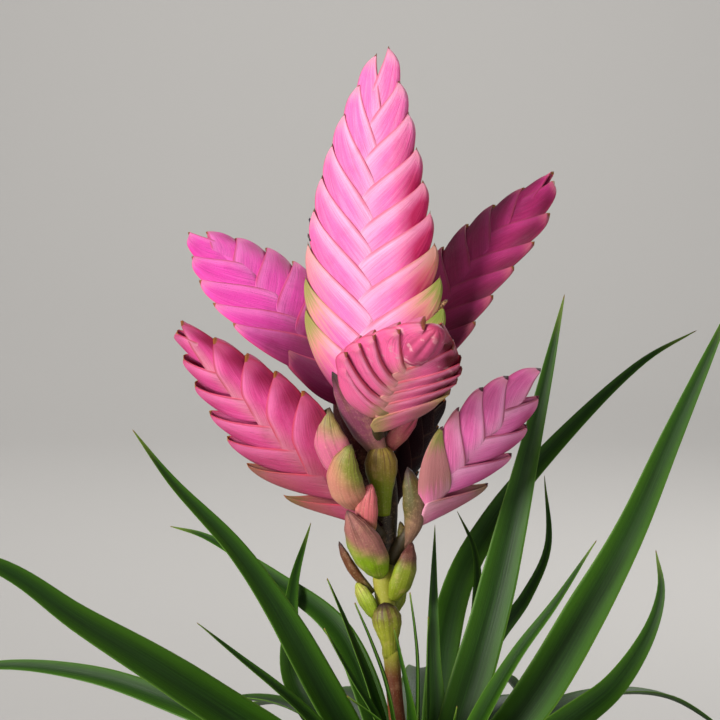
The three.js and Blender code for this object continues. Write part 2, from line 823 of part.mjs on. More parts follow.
const plant = new THREE.Group();
plant.add(meshFrom("pot", potSolid(), COLOURS.pot, 0.55));
plant.add(meshFrom("soil", soilSolid(), COLOURS.soil, 0.95));
plant.add(meshFrom("flower_stem", mainBody(stemSolid(0)), COLOURS.stem, 0.5));

// Each spike keeps clear of the stem and of every spike before it.
const keepOut = [stemSolid(GAP)];
for (const spike of SPIKES) {
  const solid = wasm.Manifold.difference([spikeSolid(spike, 0), ...keepOut]);
  plant.add(meshFrom(spike.name, mainBody(solid), spike.colour, 0.5));
  keepOut.push(spikeSolid(spike, GAP));
}
const rosette = wasm.Manifold.difference([rosetteSolid(), ...keepOut]);
plant.add(meshFrom("leaf_rosette", mainBody(rosette), COLOURS.leaf, 0.4));

export default plant;
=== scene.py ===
"""A branched pink quill plant in a plain grower's pot: its finish, camera and light.

Lengths in the tables are millimetres in the frame's axes: +Z up, the front towards -Y,
the origin at the centre of the pot's base. Blender's objects are in metres.
"""

import bisect
import math
import random

import bpy
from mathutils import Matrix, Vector


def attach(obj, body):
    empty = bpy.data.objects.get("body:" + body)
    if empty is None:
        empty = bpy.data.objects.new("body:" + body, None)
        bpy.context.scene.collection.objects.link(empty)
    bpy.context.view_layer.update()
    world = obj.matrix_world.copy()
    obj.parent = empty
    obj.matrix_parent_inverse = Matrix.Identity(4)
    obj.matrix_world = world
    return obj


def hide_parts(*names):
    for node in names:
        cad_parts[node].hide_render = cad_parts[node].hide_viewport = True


MM = 0.001

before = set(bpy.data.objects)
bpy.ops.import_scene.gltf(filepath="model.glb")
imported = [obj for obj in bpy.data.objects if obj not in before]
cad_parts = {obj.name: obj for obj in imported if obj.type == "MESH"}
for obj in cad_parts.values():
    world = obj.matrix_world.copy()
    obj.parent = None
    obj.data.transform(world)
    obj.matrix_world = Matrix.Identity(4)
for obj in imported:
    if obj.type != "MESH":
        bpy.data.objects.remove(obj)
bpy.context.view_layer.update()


def add_object(name, data):
    """An object of the scene that shows a mesh, a camera or a light."""
    obj = bpy.data.objects.new(name, data)
    bpy.context.scene.collection.objects.link(obj)
    return obj


# ---- Camera ------------------------------------------------------------------

CAMERA = {"aim": (-20, 0, 300), "distance": 1000, "elevation": 4.5, "seen_width": 288}


def add_camera():
    data = bpy.data.cameras.new("camera")
    data.sensor_width = 36
    data.lens = data.sensor_width * CAMERA["distance"] / CAMERA["seen_width"]
    data.clip_end = 50
    camera = add_object("camera", data)
    tilt = math.radians(CAMERA["elevation"])
    out = Vector((0, -math.cos(tilt), math.sin(tilt)))
    camera.location = (Vector(CAMERA["aim"]) + out * CAMERA["distance"]) * MM
    camera.rotation_euler = (math.pi / 2 - tilt, 0, 0)
    bpy.context.scene.camera = camera


# ---- Helpers -----------------------------------------------------------------


class Record:
    """Named values. fields names those that are given without a name, and a class holds the defaults."""

    fields = ()

    def __init__(self, *values, **more):
        for name, value in [*zip(self.fields, values), *more.items()]:
            setattr(self, name, value)


def lerp(a, b, share):
    return a + (b - a) * share


def clamp(x, low=0.0, high=1.0):
    return max(low, min(high, x))


def smooth_step(low, high, x):
    t = clamp((x - low) / (high - low))
    return t * t * (3 - 2 * t)


def bezier(start, bend, end, share):
    rest = 1 - share
    return rest * rest * start + 2 * rest * share * bend + share * share * end


def turns(sides):
    """The angles of evenly spaced points on a ring."""
    return [2 * math.pi * k / sides for k in range(sides)]


def circle(centre, radius, sides):
    """A level ring of points."""
    return [Vector(centre) + Vector((radius * math.cos(t), radius * math.sin(t), 0)) for t in turns(sides)]


def same(value, rings):
    """The same marks or places for every point of some rings."""
    return [[value] * len(ring) for ring in rings]


def square_to(tangent, way):
    """The direction nearest to a way that is square to a tangent."""
    return (way - tangent * way.dot(tangent)).normalized()


def read_table(table, place, ease=0.5):
    """Reads a value from a table of (place, value), more or less eased between its entries."""
    for (a, low), (b, high) in zip(table, table[1:]):
        if place <= b:
            part = (place - a) / (b - a)
            return lerp(low, high, lerp(part, smooth_step(0, 1, part), ease))
    return table[-1][1]


def new_object(name, points, faces, marks=None, places=None):
    """A mesh object from points in millimetres. marks and places are colour attributes of its points."""
    mesh = bpy.data.meshes.new(name)
    mesh.from_pydata([tuple(p * MM) for p in points], [], faces)
    for layer_name, values in (("marks", marks), ("places", places)):
        if values:
            layer = mesh.color_attributes.new(layer_name, "FLOAT_COLOR", "POINT")
            layer.data.foreach_set("color", [number for value in values for number in value])
    mesh.validate()
    mesh.shade_smooth()
    return add_object(name, mesh)


class Pile:
    """Points, faces and attributes of many small shapes that become one object."""

    def __init__(self):
        self.points = []
        self.faces = []
        self.marks = []
        self.places = []

    def add_rings(self, rings, marks=None, apex=None, apex_mark=None, places=None):
        """A skin through closed rings of equally many points, ending in a point or a flat end."""
        start = len(self.points)
        sides = len(rings[0])
        marks = marks or same((0, 0, 0, 0), rings)
        places = places or same((0.5, 0.5, 0.5, 1), rings)
        for ring, ring_marks, ring_places in zip(rings, marks, places):
            self.points.extend(ring)
            self.marks.extend(ring_marks)
            self.places.extend(ring_places)
        for index in range(len(rings) - 1):
            for side in range(sides):
                a = start + index * sides + side
                b = start + index * sides + (side + 1) % sides
                self.faces.append((a, b, b + sides, a + sides))
        last = start + (len(rings) - 1) * sides
        self.faces.append(tuple(start + side for side in reversed(range(sides))))
        if apex is None:
            self.faces.append(tuple(last + side for side in range(sides)))
        else:
            self.points.append(apex)
            self.marks.append(apex_mark)
            self.places.append(places[-1][0])
            for side in range(sides):
                self.faces.append((last + side, last + (side + 1) % sides, last + sides))

    def make(self, name):
        return new_object(name, self.points, self.faces, self.marks, self.places)


class Curve:
    """A smooth curve through points, walked by its length."""

    def __init__(self, samples):
        self.samples = samples
        self.lengths = [0.0]
        for a, b in zip(samples, samples[1:]):
            self.lengths.append(self.lengths[-1] + (b - a).length)
        self.length = self.lengths[-1]

    @classmethod
    def quadratic(cls, line, steps=60):
        start, bend, end = (Vector(p) for p in line)
        return cls([bezier(start, bend, end, k / steps) for k in range(steps + 1)])

    @classmethod
    def through(cls, points, steps=14):
        """A centripetal Catmull-Rom curve through the points."""
        points = [Vector(p) for p in points]
        padded = [2 * points[0] - points[1]] + points + [2 * points[-1] - points[-2]]
        samples = []
        for p0, p1, p2, p3 in zip(padded, padded[1:], padded[2:], padded[3:]):
            t1 = (p1 - p0).length ** 0.5
            t2 = t1 + (p2 - p1).length ** 0.5
            t3 = t2 + (p3 - p2).length ** 0.5
            for k in range(steps):
                t = lerp(t1, t2, k / steps)
                a1 = lerp(p0, p1, t / t1)
                a2 = lerp(p1, p2, (t - t1) / (t2 - t1))
                a3 = lerp(p2, p3, (t - t2) / (t3 - t2))
                b1 = lerp(a1, a2, t / t2)
                b2 = lerp(a2, a3, (t - t1) / (t3 - t1))
                samples.append(lerp(b1, b2, (t - t1) / (t2 - t1)))
        samples.append(points[-1])
        return cls(samples)

    def point(self, share):
        target = clamp(share) * self.length
        index = min(bisect.bisect_right(self.lengths, target), len(self.lengths) - 1)
        low, high = self.lengths[index - 1], self.lengths[index]
        return lerp(self.samples[index - 1], self.samples[index], (target - low) / max(high - low, 1e-9))

    def tangent(self, share):
        step = 0.01
        return (self.point(share + step) - self.point(share - step)).normalized()


# ---- Spikes of overlapping bracts --------------------------------------------

# Shared form of the bracts, as in the solids, in millimetres or shares.
BRACT = Record(
    # From the keel's foot to the margin's foot, and how far past the middle a margin starts.
    clasp=17,
    across=3,
    # How early the keel reaches the outline, where along its climb it bends, and its half thickness.
    swell=0.75,
    keel_bend=0.46,
    keel_half=0.35,
    # Half width of a spike's very tip, and the length over which the spike grows thinner towards it.
    tip_half=1.6,
    thin_length=26,
    # Thickness of the bract itself. Below 1, crest puts a plump one's fullest part near its margin.
    sheet=0.5,
    crest=0.62,
    # How far a tip may stray along and across its spike.
    stray=(0.6, 0.5),
    # The share of its length on which the foot of a rounded bract is rounded.
    corner=0.14,
)


class Row(Record):
    """One of the two rows of bracts on a spike, from its tip down.

    taper is the length over which the row reaches its half width, reach how far a margin climbs on a
    narrow and on a full bract, and curl, ess and knee the bend of that margin. plump and lift: how far a
    bract stands off the face. room: how far out the spike's thick middle goes. bow: how far the keel
    stands out beside the tip. fold: how near the keel a half turns flat. last: the extra gap above the
    last bract, and its share of the width. round_end: how far its two corners are rounded.
    """

    fields = ("count", "first", "spacing", "half_width", "taper", "reach", "curl", "plump", "lift")
    room = (0.25, 1.4)
    bow = (2.4, 0.8)
    ess = 0.4
    knee = (0, 0)
    fold = 0.26
    last = (0, 1)
    round_end = 0

    def margin_share(self, u):
        """How far from the seam to the tip a margin has come, at a share u of its reach."""
        knee, knee_share = self.knee
        if u < knee:
            return knee_share * u / knee
        u = (u - knee) / (1 - knee)
        return lerp(knee_share, 1, lerp(u**self.curl, smooth_step(0, 1, u), self.ess))

    def margin_place(self, share):
        """The share of its reach at which a margin has come a share of the way to the tip."""
        low, high = 0.0, 1.0
        for _ in range(12):
            middle = (low + high) / 2
            if self.margin_share(middle) < share:
                low = middle
            else:
                high = middle
        return (low + high) / 2


class Spike(Record):
    """A flat spike with two rows of bracts.

    line: base, bend and tip. face: the way the flat side looks. The right row lies towards the cross
    product of the line and the face. core: half thickness of the middle, and apex the share of it that
    is left at the tip. stalk: its radius. clasp: how long its bracts clasp it, as a share of the usual.
    pinch: the length over which the spike narrows at its base, and by what share.
    """

    apex = 0.2
    stalk = 3.2
    pinch = (35, 0.4)
    crown = None
    withered = ()

    def __init__(self, **values):
        super().__init__(**values)
        self.curve = Curve.quadratic(self.line)
        self.length = self.curve.length

    def place(self, along, across, off):
        """A point given along, across and off the flat face."""
        share = clamp(along / self.length)
        tangent = self.curve.tangent(share)
        normal = square_to(tangent, Vector(self.face))
        base = self.curve.point(share) + tangent * (along - share * self.length)
        return base + tangent.cross(normal) * across + normal * off


SPIKES = {
    "spike_terminal": Spike(
        line=[(-12, 1, 268), (-24, -5, 328), (-10, 9, 424)],
        face=(-0.12, -0.99, -0.06),
        core=3.6,
        stalk=3.6,
        clasp=1,
        right=Row(9, -1, 13.2, 31.5, 124, (21, 24), 1, 0.16, 0.5, ess=0.6),
        left=Row(9, 3, 12.6, 24.5, 100, (27, 30), 0.95, 0.16, 0.5, ess=0.5),
        withered=[
            ((76, -20, 0), (69, -23.5, 0), 3, 0),
            ((79, -20.5, 0), (75, -24, 0), 2.4, 0.1),
            ((107, 25, -1), (101, 32.5, -1), 4.6, 1),
            ((110, 25, -1), (105, 30, 0), 4, 0.9),
        ],
    ),
    "spike_front": Spike(
        line=[(-11, 0, 262), (-19.7, -30.4, 285), (7, -84, 320)],
        face=(-0.06, -0.6, -0.79),
        core=4,
        apex=0.6,
        stalk=3.6,
        clasp=0.92,
        crown=Record(
            length=24, past=0.5, across=1.5, off=1.5, half_width=7.5, half_depth=5.5,
            creases=(0.9, 1.75, 2.5),
        ),
        right=Row(
            6, 1.6, 8.6, 23.3, 35, (24, 26), 1.1, 0.5, 0.3,
            room=(0.4, 3), bow=(1.5, -1.2), fold=0.4, round_end=4,
        ),
        left=Row(
            6, 1.3, 7.6, 22.7, 39.5, (20, 24), 0.75, 1.25, 0.3,
            room=(0.4, 4), bow=(2.6, 2), ess=0, fold=0.75, last=(0, 0.85),
        ),
    ),
    "spike_upper_left": Spike(
        line=[(-11, 2, 266), (-49, 21.5, 320.5), (-89.5, 49, 349.5)],
        face=(0.27, -0.7, 0.66),
        core=2.8,
        clasp=0.9,
        right=Row(6, 3, 11, 27, 58, (10, 20), 1.4, 0.15, 0.5),
        left=Row(6, -1, 12.6, 21.5, 42, (12, 27), 1.1, 0.15, 0.5, last=(10, 0.53)),
    ),
    "spike_upper_right": Spike(
        line=[(-11, 3, 268), (4.5, 19.5, 314.5), (59.2, 42.7, 372)],
        face=(-0.52, -0.56, 0.64),
        core=2.8,
        clasp=0.95,
        right=Row(6, 1.6, 14.6, 19, 33, (14, 22), 1.2, 0.15, 0.5),
        left=Row(7, -3, 12.2, 26.5, 60, (18, 24), 1.3, 0.15, 0.5),
    ),
    "spike_lower_left": Spike(
        line=[(-11, -2, 229), (-61.5, -5, 282.5), (-88.5, -42, 316)],
        face=(-0.41, -0.86, -0.3),
        core=3.8,
        stalk=3.6,
        clasp=0.85,
        pinch=(58, 0.95),
        right=Row(5, -3, 14.3, 23.5, 80, (28, 34), 1.3, 0.5, 0.5, ess=0, knee=(0.5, 0.26)),
        left=Row(7, 3, 13.6, 24.5, 84, (6, 20), 1.1, 0.2, 0.5, last=(5, 1)),
        withered=[((86, -15, 0), (81, -21, 0), 2.6, 0)],
    ),
    "spike_lower_right": Spike(
        line=[(-8, -2, 219), (17.5, -11, 265.5), (51.5, -14, 296.5)],
        face=(0.4, -0.79, -0.46),
        core=3.2,
        clasp=0.8,
        pinch=(52, 0.95),
        right=Row(4, 8, 13.4, 21, 42, (12, 18), 1.2, 0.3, 0.6, last=(3.5, 1)),
        left=Row(5, 0, 10.2, 17.5, 30, (14, 20), 1.3, 0.3, 0.6),
    ),
    "spike_back": Spike(
        line=[(-10, 1, 240), (-1, 16, 260), (14.5, 34, 282)],
        face=(0.35, -0.8, -0.45),
        core=3.4,
        stalk=3,
        clasp=0.8,
        right=Row(4, 0, 11, 9, 30, (12, 16), 1.3, 0.3, 0.5),
        left=Row(4, 5.5, 11, 9, 30, (12, 16), 1.3, 0.3, 0.5),
    ),
}

# The skin of a bract from its keel to its margin and back inside, on both faces of the spike: the share of
# the way to the margin, the face, and how deep below the outer skin.
OUTER_STEPS = [0, 0.03, 0.08, 0.15, 0.24, 0.35, 0.46, 0.57, 0.68, 0.78, 0.87, 0.94, 0.98, 1]
INNER_STEPS = [1, 0.9, 0.7, 0.42, 0.2, 0.08]
SKIN = [(v, 1, 0) for v in OUTER_STEPS]
SKIN += [(v, 1, BRACT.sheet) for v in INNER_STEPS]
SKIN += [(v, -1, BRACT.sheet) for v in reversed(INNER_STEPS)]
SKIN += [(v, -1, 0) for v in reversed(OUTER_STEPS[1:])]

# The fourth mark of a bract is its rank, from 0 for the lowest to 1, and these stand for other parts.
STALK_RANK = -1
WITHERED_RANK = -2


class Bract:
    """One folded bract: two thin halves that meet in a keel at the spike's outer edge."""

    def __init__(self, spike, side, index, dice):
        self.spike = spike
        self.side = side
        self.row = row = spike.right if side > 0 else spike.left
        is_last = index == row.count - 1
        extra, self.narrow = row.last if is_last else (0, 1)
        self.round_end = row.round_end if is_last else 0
        stray_along, stray_across = BRACT.stray
        from_apex = row.first + index * row.spacing + extra
        self.tip_along = spike.length - from_apex + dice.uniform(-stray_along, stray_along)
        width = self.width_at(self.tip_along) * self.narrow
        self.tip_width = width + dice.uniform(-stray_across, stray_across)
        self.size = self.tip_width / row.half_width
        self.reach = lerp(*row.reach, self.size)
        self.clasp = BRACT.clasp * spike.clasp
        self.foot = self.tip_along - self.reach - self.clasp
        self.tone = dice.random()
        self.rank = 1 - (index + 0.5) / row.count

    def width_at(self, along):
        """Half width of the row at a distance along its spike."""
        share = clamp((self.spike.length - along) / self.row.taper)
        pinch_length, pinch_share = self.spike.pinch
        pinch = pinch_share * (1 - clamp(along / pinch_length)) ** 2
        return lerp(BRACT.tip_half, self.row.half_width, math.sin(math.pi / 2 * share**0.9)) * (1 - pinch)

    def keel(self, u):
        bend = self.foot + BRACT.keel_bend * (self.reach + self.clasp)
        along = bezier(self.foot, bend, self.tip_along, u)
        bow = lerp(*self.row.bow, self.size) * math.sin(math.pi * u**5)
        width = self.width_at(along) * lerp(1, self.narrow, u)
        return along + self.rounding(u), width * math.sin(math.pi / 2 * u**BRACT.swell) + bow

    def margin(self, u):
        across = lerp(-BRACT.across, self.tip_width, self.row.margin_share(u))
        return self.foot + self.clasp + self.reach * u - self.rounding(u), across

    def rounding(self, u):
        """How far the two corners of the lowest bract are rounded off beside the seam."""
        return self.round_end * (1 - math.sqrt(1 - (1 - min(u, BRACT.corner) / BRACT.corner) ** 2))

    def band(self, along, across):
        """How far below this bract's own margin a point lies, in steps between two bracts."""
        share = clamp((across + BRACT.across) / (self.tip_width + BRACT.across))
        edge = self.foot + self.clasp + self.reach * self.row.margin_place(share)
        return (edge - along) / self.row.spacing

    def skin(self, u, v):
        """Along, across and off for a point of the outer skin, with its place in the visible band."""
        row = self.row
        keel_along, keel_across = self.keel(u)
        margin_along, margin_across = self.margin(u)
        along = lerp(keel_along, margin_along, v)
        across = lerp(keel_across, margin_across, v)
        room_back, room_more = row.room
        room = self.width_at(along - room_back * self.reach) + room_more
        lens = max(0, 1 - (across / room) ** 2)
        thin = clamp((self.spike.length - along) / BRACT.thin_length, self.spike.apex, 1)
        fold = math.sin(math.pi / 2 * min(1, v / row.fold))
        band = self.band(along, across)
        plump = row.plump * math.sin(math.pi * clamp(band) ** BRACT.crest) * thin
        plump *= smooth_step(-0.3, 0.5, across / row.half_width)
        off = (BRACT.keel_half + self.spike.core * lens * thin + plump) * fold
        off += row.lift * v * smooth_step(-0.12, 0.3, u) * (1 - 0.5 * u * u)
        return along, across, off, band

    def ring(self, u):
        """Points round the bract. Marks: shares along and across, tone and rank. Places: the visible band,
        nearness to the spike's edge, the side, and how far down the spike."""
        narrowest = 5
        points, marks, places = [], [], []
        for v, front, deeper in SKIN:
            along, across, off, band = self.skin(u, v)
            points.append(self.spike.place(along, self.side * across, front * max(off - deeper, 0)))
            marks.append((u, v, self.tone, self.rank))
            edge = across / max(self.width_at(along), narrowest)
            places.append((clamp(band), edge, (self.side + 1) / 2, 1 - along / self.spike.length))
        return points, marks, places

    def add_to(self, pile):
        rows, last = 26, 0.985
        shares = [math.sin(math.pi / 2 * k / rows) * last for k in range(rows + 1)]
        rings, marks, places = zip(*(self.ring(u) for u in shares))
        apex = self.spike.place(self.tip_along + 0.8, self.side * self.tip_width, 0)
        pile.add_rings(rings, marks, apex, (1, 0.5, self.tone, self.rank), places)


def add_stalk(pile, spike):
    """The stalk that carries a spike, run a little way up between its bracts."""
    length, thinning, rows, sides = 26, 0.015, 9, 16
    rings = []
    for index in range(rows):
        along = length * index / (rows - 1)
        radius = spike.stalk * (1 - thinning * along)
        rings.append([spike.place(along, radius * math.cos(t), radius * math.sin(t)) for t in turns(sides)])
    pile.add_rings(rings, same((0.7, 0.5, 0.5, STALK_RANK), rings))


def add_crown(pile, spike, crown):
    """The closed bud between the two topmost bracts, with creases down its front."""
    rows, sides = 20, 64
    crease_width, crease_depth = 0.16, 0.16
    rank, places = 0.9, (0.75, 0.7, 0.6, 0.15)
    rings, marks = [], []
    for index in range(rows):
        share = index / rows
        along = spike.length + crown.past - crown.length * (1 - share)
        size = math.sqrt(1 - share**3) * lerp(0.7, 1, smooth_step(0, 0.5, share))
        ring = []
        for turn in turns(sides):
            crease = sum(math.exp(-(((turn - at) / crease_width) ** 2)) for at in crown.creases)
            lobe = size * (1 - crease_depth * crease * smooth_step(0.1, 0.5, share))
            across = crown.across + crown.half_width * lobe * math.cos(turn)
            ring.append(spike.place(along, across, crown.off + crown.half_depth * lobe * math.sin(turn)))
        rings.append(ring)
        marks.append([(0.5 + 0.45 * share, 0.5, 0.5, rank)] * sides)
    apex = spike.place(spike.length + crown.past, crown.across, crown.off)
    pile.add_rings(rings, marks, apex, (0.95, 0.5, 0.5, rank), same(places, rings))


def add_withered(pile, spike, dice):
    """Shrivelled flowers between the bracts. A bit: its foot and tip, each as the distance below the apex,
    across and off, with its width and how brown rather than purple it is."""
    rows, sides = 9, 7
    for foot, tip, width, brown in spike.withered:
        rings = []
        for index in range(rows):
            share = index / rows
            below, across, off = (lerp(a, b, share) for a, b in zip(foot, tip))
            centre = spike.place(spike.length - below, across, off)
            size = width / 2 * (0.5 + 0.9 * math.sin(math.pi * share**0.8)) * (1 - 0.5 * share)
            ring = []
            for turn in turns(sides):
                turn += 0.5 * index
                radius = size * dice.uniform(0.45, 1.25)
                out = Vector((math.cos(turn), 0.6 * math.sin(turn), 0.5 * math.sin(turn)))
                ring.append(centre + out * radius)
            rings.append(ring)
        mark = (0.5, 0.5, brown, WITHERED_RANK)
        pile.add_rings(rings, same(mark, rings), spike.place(spike.length - tip[0], *tip[1:]), mark)


def make_spike(name, spike, dice):
    pile = Pile()
    add_stalk(pile, spike)
    if spike.crown:
        add_crown(pile, spike, spike.crown)
    for side, row in ((1, spike.right), (-1, spike.left)):
        for index in range(row.count):
            Bract(spike, side, index, dice).add_to(pile)
    add_withered(pile, spike, dice)
    return pile.make("bracts_" + name)


# ---- Materials ---------------------------------------------------------------


def linear_colour(colour):
    """A colour given as 0 to 255 screen values, as Blender's linear values."""
    shares = [c / 255 for c in colour]
    return (*(c / 12.92 if c <= 0.04045 else ((c + 0.055) / 1.055) ** 2.4 for c in shares), 1)


class Nodes:
    """Short calls that build a material's nodes. Plain colours are 0 to 255 screen values."""

    def __init__(self, name):
        self.material = bpy.data.materials.new(name)
        self.material.use_nodes = True
        self.tree = self.material.node_tree
        self.shader = self.tree.nodes["Principled BSDF"]
        self.colour = None

    def feed(self, socket, value):
        if isinstance(value, bpy.types.NodeSocket):
            self.tree.links.new(value, socket)
        elif socket.type == "RGBA":
            socket.default_value = linear_colour(value)
        else:
            socket.default_value = value

    def add(self, kind, inputs, **settings):
        """A node with its settings, fed by a dictionary of inputs."""
        node = self.tree.nodes.new(kind)
        for name, value in settings.items():
            setattr(node, name, value)
        for key, value in inputs.items():
            self.feed(node.inputs[key], value)
        return node

    def attribute(self, name):
        """The four numbers of a colour attribute."""
        colour, fourth = self.tint(name)
        split = self.add("ShaderNodeSeparateColor", {0: colour})
        return (*split.outputs, fourth)

    def tint(self, name):
        """A colour attribute's colour and its fourth number."""
        node = self.add("ShaderNodeAttribute", {}, attribute_name=name)
        return node.outputs["Color"], node.outputs["Alpha"]

    def math(self, operation, *values):
        return self.add("ShaderNodeMath", dict(enumerate(values)), operation=operation).outputs[0]

    def times(self, first, *others):
        for other in others:
            first = self.math("MULTIPLY", first, other)
        return first

    def plus(self, first, *others):
        for other in others:
            first = self.math("ADD", first, other)
        return first

    def between(self, share, low, high):
        """The number a share of the way from low to high."""
        return self.math("MULTIPLY_ADD", share, high - low, low)

    def ramp(self, value, low, high):
        """0 at low and 1 at high, smoothly. low may be the larger one."""
        inputs = {0: value, 1: low, 2: high}
        return self.add("ShaderNodeMapRange", inputs, interpolation_type="SMOOTHSTEP").outputs[0]

    def mix(self, share, first, second):
        return self.add("ShaderNodeMix", {0: share, 6: first, 7: second}, data_type="RGBA").outputs[2]

    def paint(self, colour, *shares):
        """Lays a colour over what is painted so far, as thickly as the product of the shares."""
        self.colour = self.mix(self.times(*shares), self.colour, colour)

    def position(self):
        return self.tree.nodes.new("ShaderNodeTexCoord").outputs["Object"]

    def noise(self, vector, scale, detail=4, roughness=0.55):
        inputs = {"Vector": vector, "Scale": scale, "Detail": detail, "Roughness": roughness}
        return self.add("ShaderNodeTexNoise", inputs).outputs[0]

    def fibres(self, along, across, tone, detail, roughness=0.55):
        """Noise drawn out along a leaf or a bract."""
        vector = self.add("ShaderNodeCombineXYZ", {0: along, 1: across, 2: tone}).outputs[0]
        return self.noise(vector, 1.0, detail, roughness)

    def bump(self, height, strength, distance):
        node = self.add("ShaderNodeBump", {"Strength": strength, "Distance": distance, "Height": height})
        self.set("Normal", node.outputs[0])

    def set(self, name, value):
        self.feed(self.shader.inputs[name], value)

    def set_flesh(self, weight, radius):
        """Light that spreads a little below the skin, by metres of red, green and blue."""
        self.set("Subsurface Weight", weight)
        self.set("Subsurface Radius", radius)
        self.set("Subsurface Scale", 0.5)

    def finish(self, roughness, gloss=0.5):
        """The material, with what is painted as its colour."""
        self.set("Base Color", self.colour)
        self.set("Roughness", roughness)
        self.set("Specular IOR Level", gloss)
        return self.material


class Look(Record):
    """The colours of one spike's bracts, and where they lie.

    depth, greening: how deep the left and the right row turn outside, and how green below. That deep
    outside is partly the bracts' own colour and partly painted shade, darker on the row turned from the
    light. deep_from: how far down the spike the deep colour is full. heart: how strong the seam's colour
    is. green_to: up to which rank bracts are green. tan_from, green_from: where along a bract that begins.
    base_range: where down the spike the base colour comes in, which on the upper two spikes is partly
    painted shade.
    """

    fields = ("slot", "pale", "body", "deep", "margin", "seam")
    depth = (0.3, 0.8)
    deep_from = 0
    heart = 0.5
    base = (0, 0, 0)
    base_range = (0.6, 0.9)
    base_share = 0
    tip = (206, 120, 120)
    tan = (190, 116, 118)
    green = (126, 130, 48)
    dry = (150, 84, 30)
    green_to = 0.16
    greening = (0.8, 0.8)
    tan_from = 0.4
    green_from = 0.8
    green_seam = 0
    highlight_share = 0
    gloss = 0.3


LOOKS = {
    "spike_terminal": Look(
        "bract_pink", (248, 172, 206), (240, 106, 174), (164, 0, 72), (200, 76, 104), (244, 158, 198),
        depth=(0.25, 1.2), heart=0.7, green_to=0.25, greening=(0.8, 0.95), tan=(220, 148, 130),
        green=(120, 142, 40), dry=(124, 76, 44), tan_from=0.55, green_from=0.78, deep_from=0.42,
    ),
    # Its whitish patches are painted highlights.
    "spike_front": Look(
        "bract_coral", (246, 140, 180), (246, 98, 156), (90, 0, 26), (170, 28, 52), (200, 150, 122),
        depth=(0.05, 1.15), heart=0.7, base=(150, 100, 90), base_range=(0.55, 0.9), base_share=0.6,
        greening=(0, 0.8), green=(156, 146, 76), green_seam=0.7, highlight_share=0.6, tip=(150, 26, 46),
        dry=(120, 56, 36),
    ),
    # Its dark maroon base is partly painted shade.
    "spike_upper_left": Look(
        "bract_magenta", (248, 120, 200), (236, 66, 176), (160, 8, 96), (206, 60, 104), (240, 124, 196),
        heart=0.3, greening=(0, 0), base=(96, 0, 42), base_range=(0.42, 0.66), base_share=0.85,
    ),
    # A darker copy of the magenta as painted shade, for a spike that lies in shade; its maroon base is
    # partly painted shade too.
    "spike_upper_right": Look(
        "bract_dark_magenta", (176, 46, 114), (146, 20, 84), (78, 0, 30), (140, 40, 68), (180, 58, 120),
        heart=0.3, greening=(0, 0), base=(78, 0, 36), base_range=(0.45, 0.8), base_share=0.75,
    ),
    "spike_lower_left": Look(
        "bract_coral", (236, 116, 172), (216, 66, 138), (130, 4, 52), (178, 40, 62), (222, 142, 158),
        depth=(0.55, 0.9), heart=0.7, green_to=0.24, greening=(0.8, 0), base=(130, 44, 60),
        base_range=(0.4, 0.8), base_share=0.8, tip=(160, 18, 44), tan=(150, 74, 70), green=(110, 92, 40),
    ),
    "spike_lower_right": Look(
        "bract_magenta", (250, 158, 206), (238, 108, 178), (160, 24, 86), (150, 44, 70), (240, 164, 196),
        green_to=0.25, greening=(0.95, 0.6), base=(196, 140, 116), base_range=(0.76, 0.97),
        base_share=0.85, tan=(160, 104, 100), green=(110, 112, 44), dry=(70, 36, 44), tan_from=0.15,
        green_seam=0.4,
    ),
    # Nearly black brown: painted shade, for the spike that stands in shadow behind the others.
    "spike_back": Look(
        "bract_dark_magenta", (36, 10, 12), (26, 6, 10), (18, 2, 6), (60, 36, 20), (36, 10, 12),
        greening=(0, 0), tip=(40, 24, 20), gloss=0.06,
    ),
}

# What all spikes have in common.
# The colour of the painted highlights.
HIGHLIGHT_PINK = (214, 160, 168)
STALK_BROWN = (58, 48, 26)
WITHERED = Record(purple=(34, 22, 40), brown=(84, 54, 34), straw=(176, 132, 92))


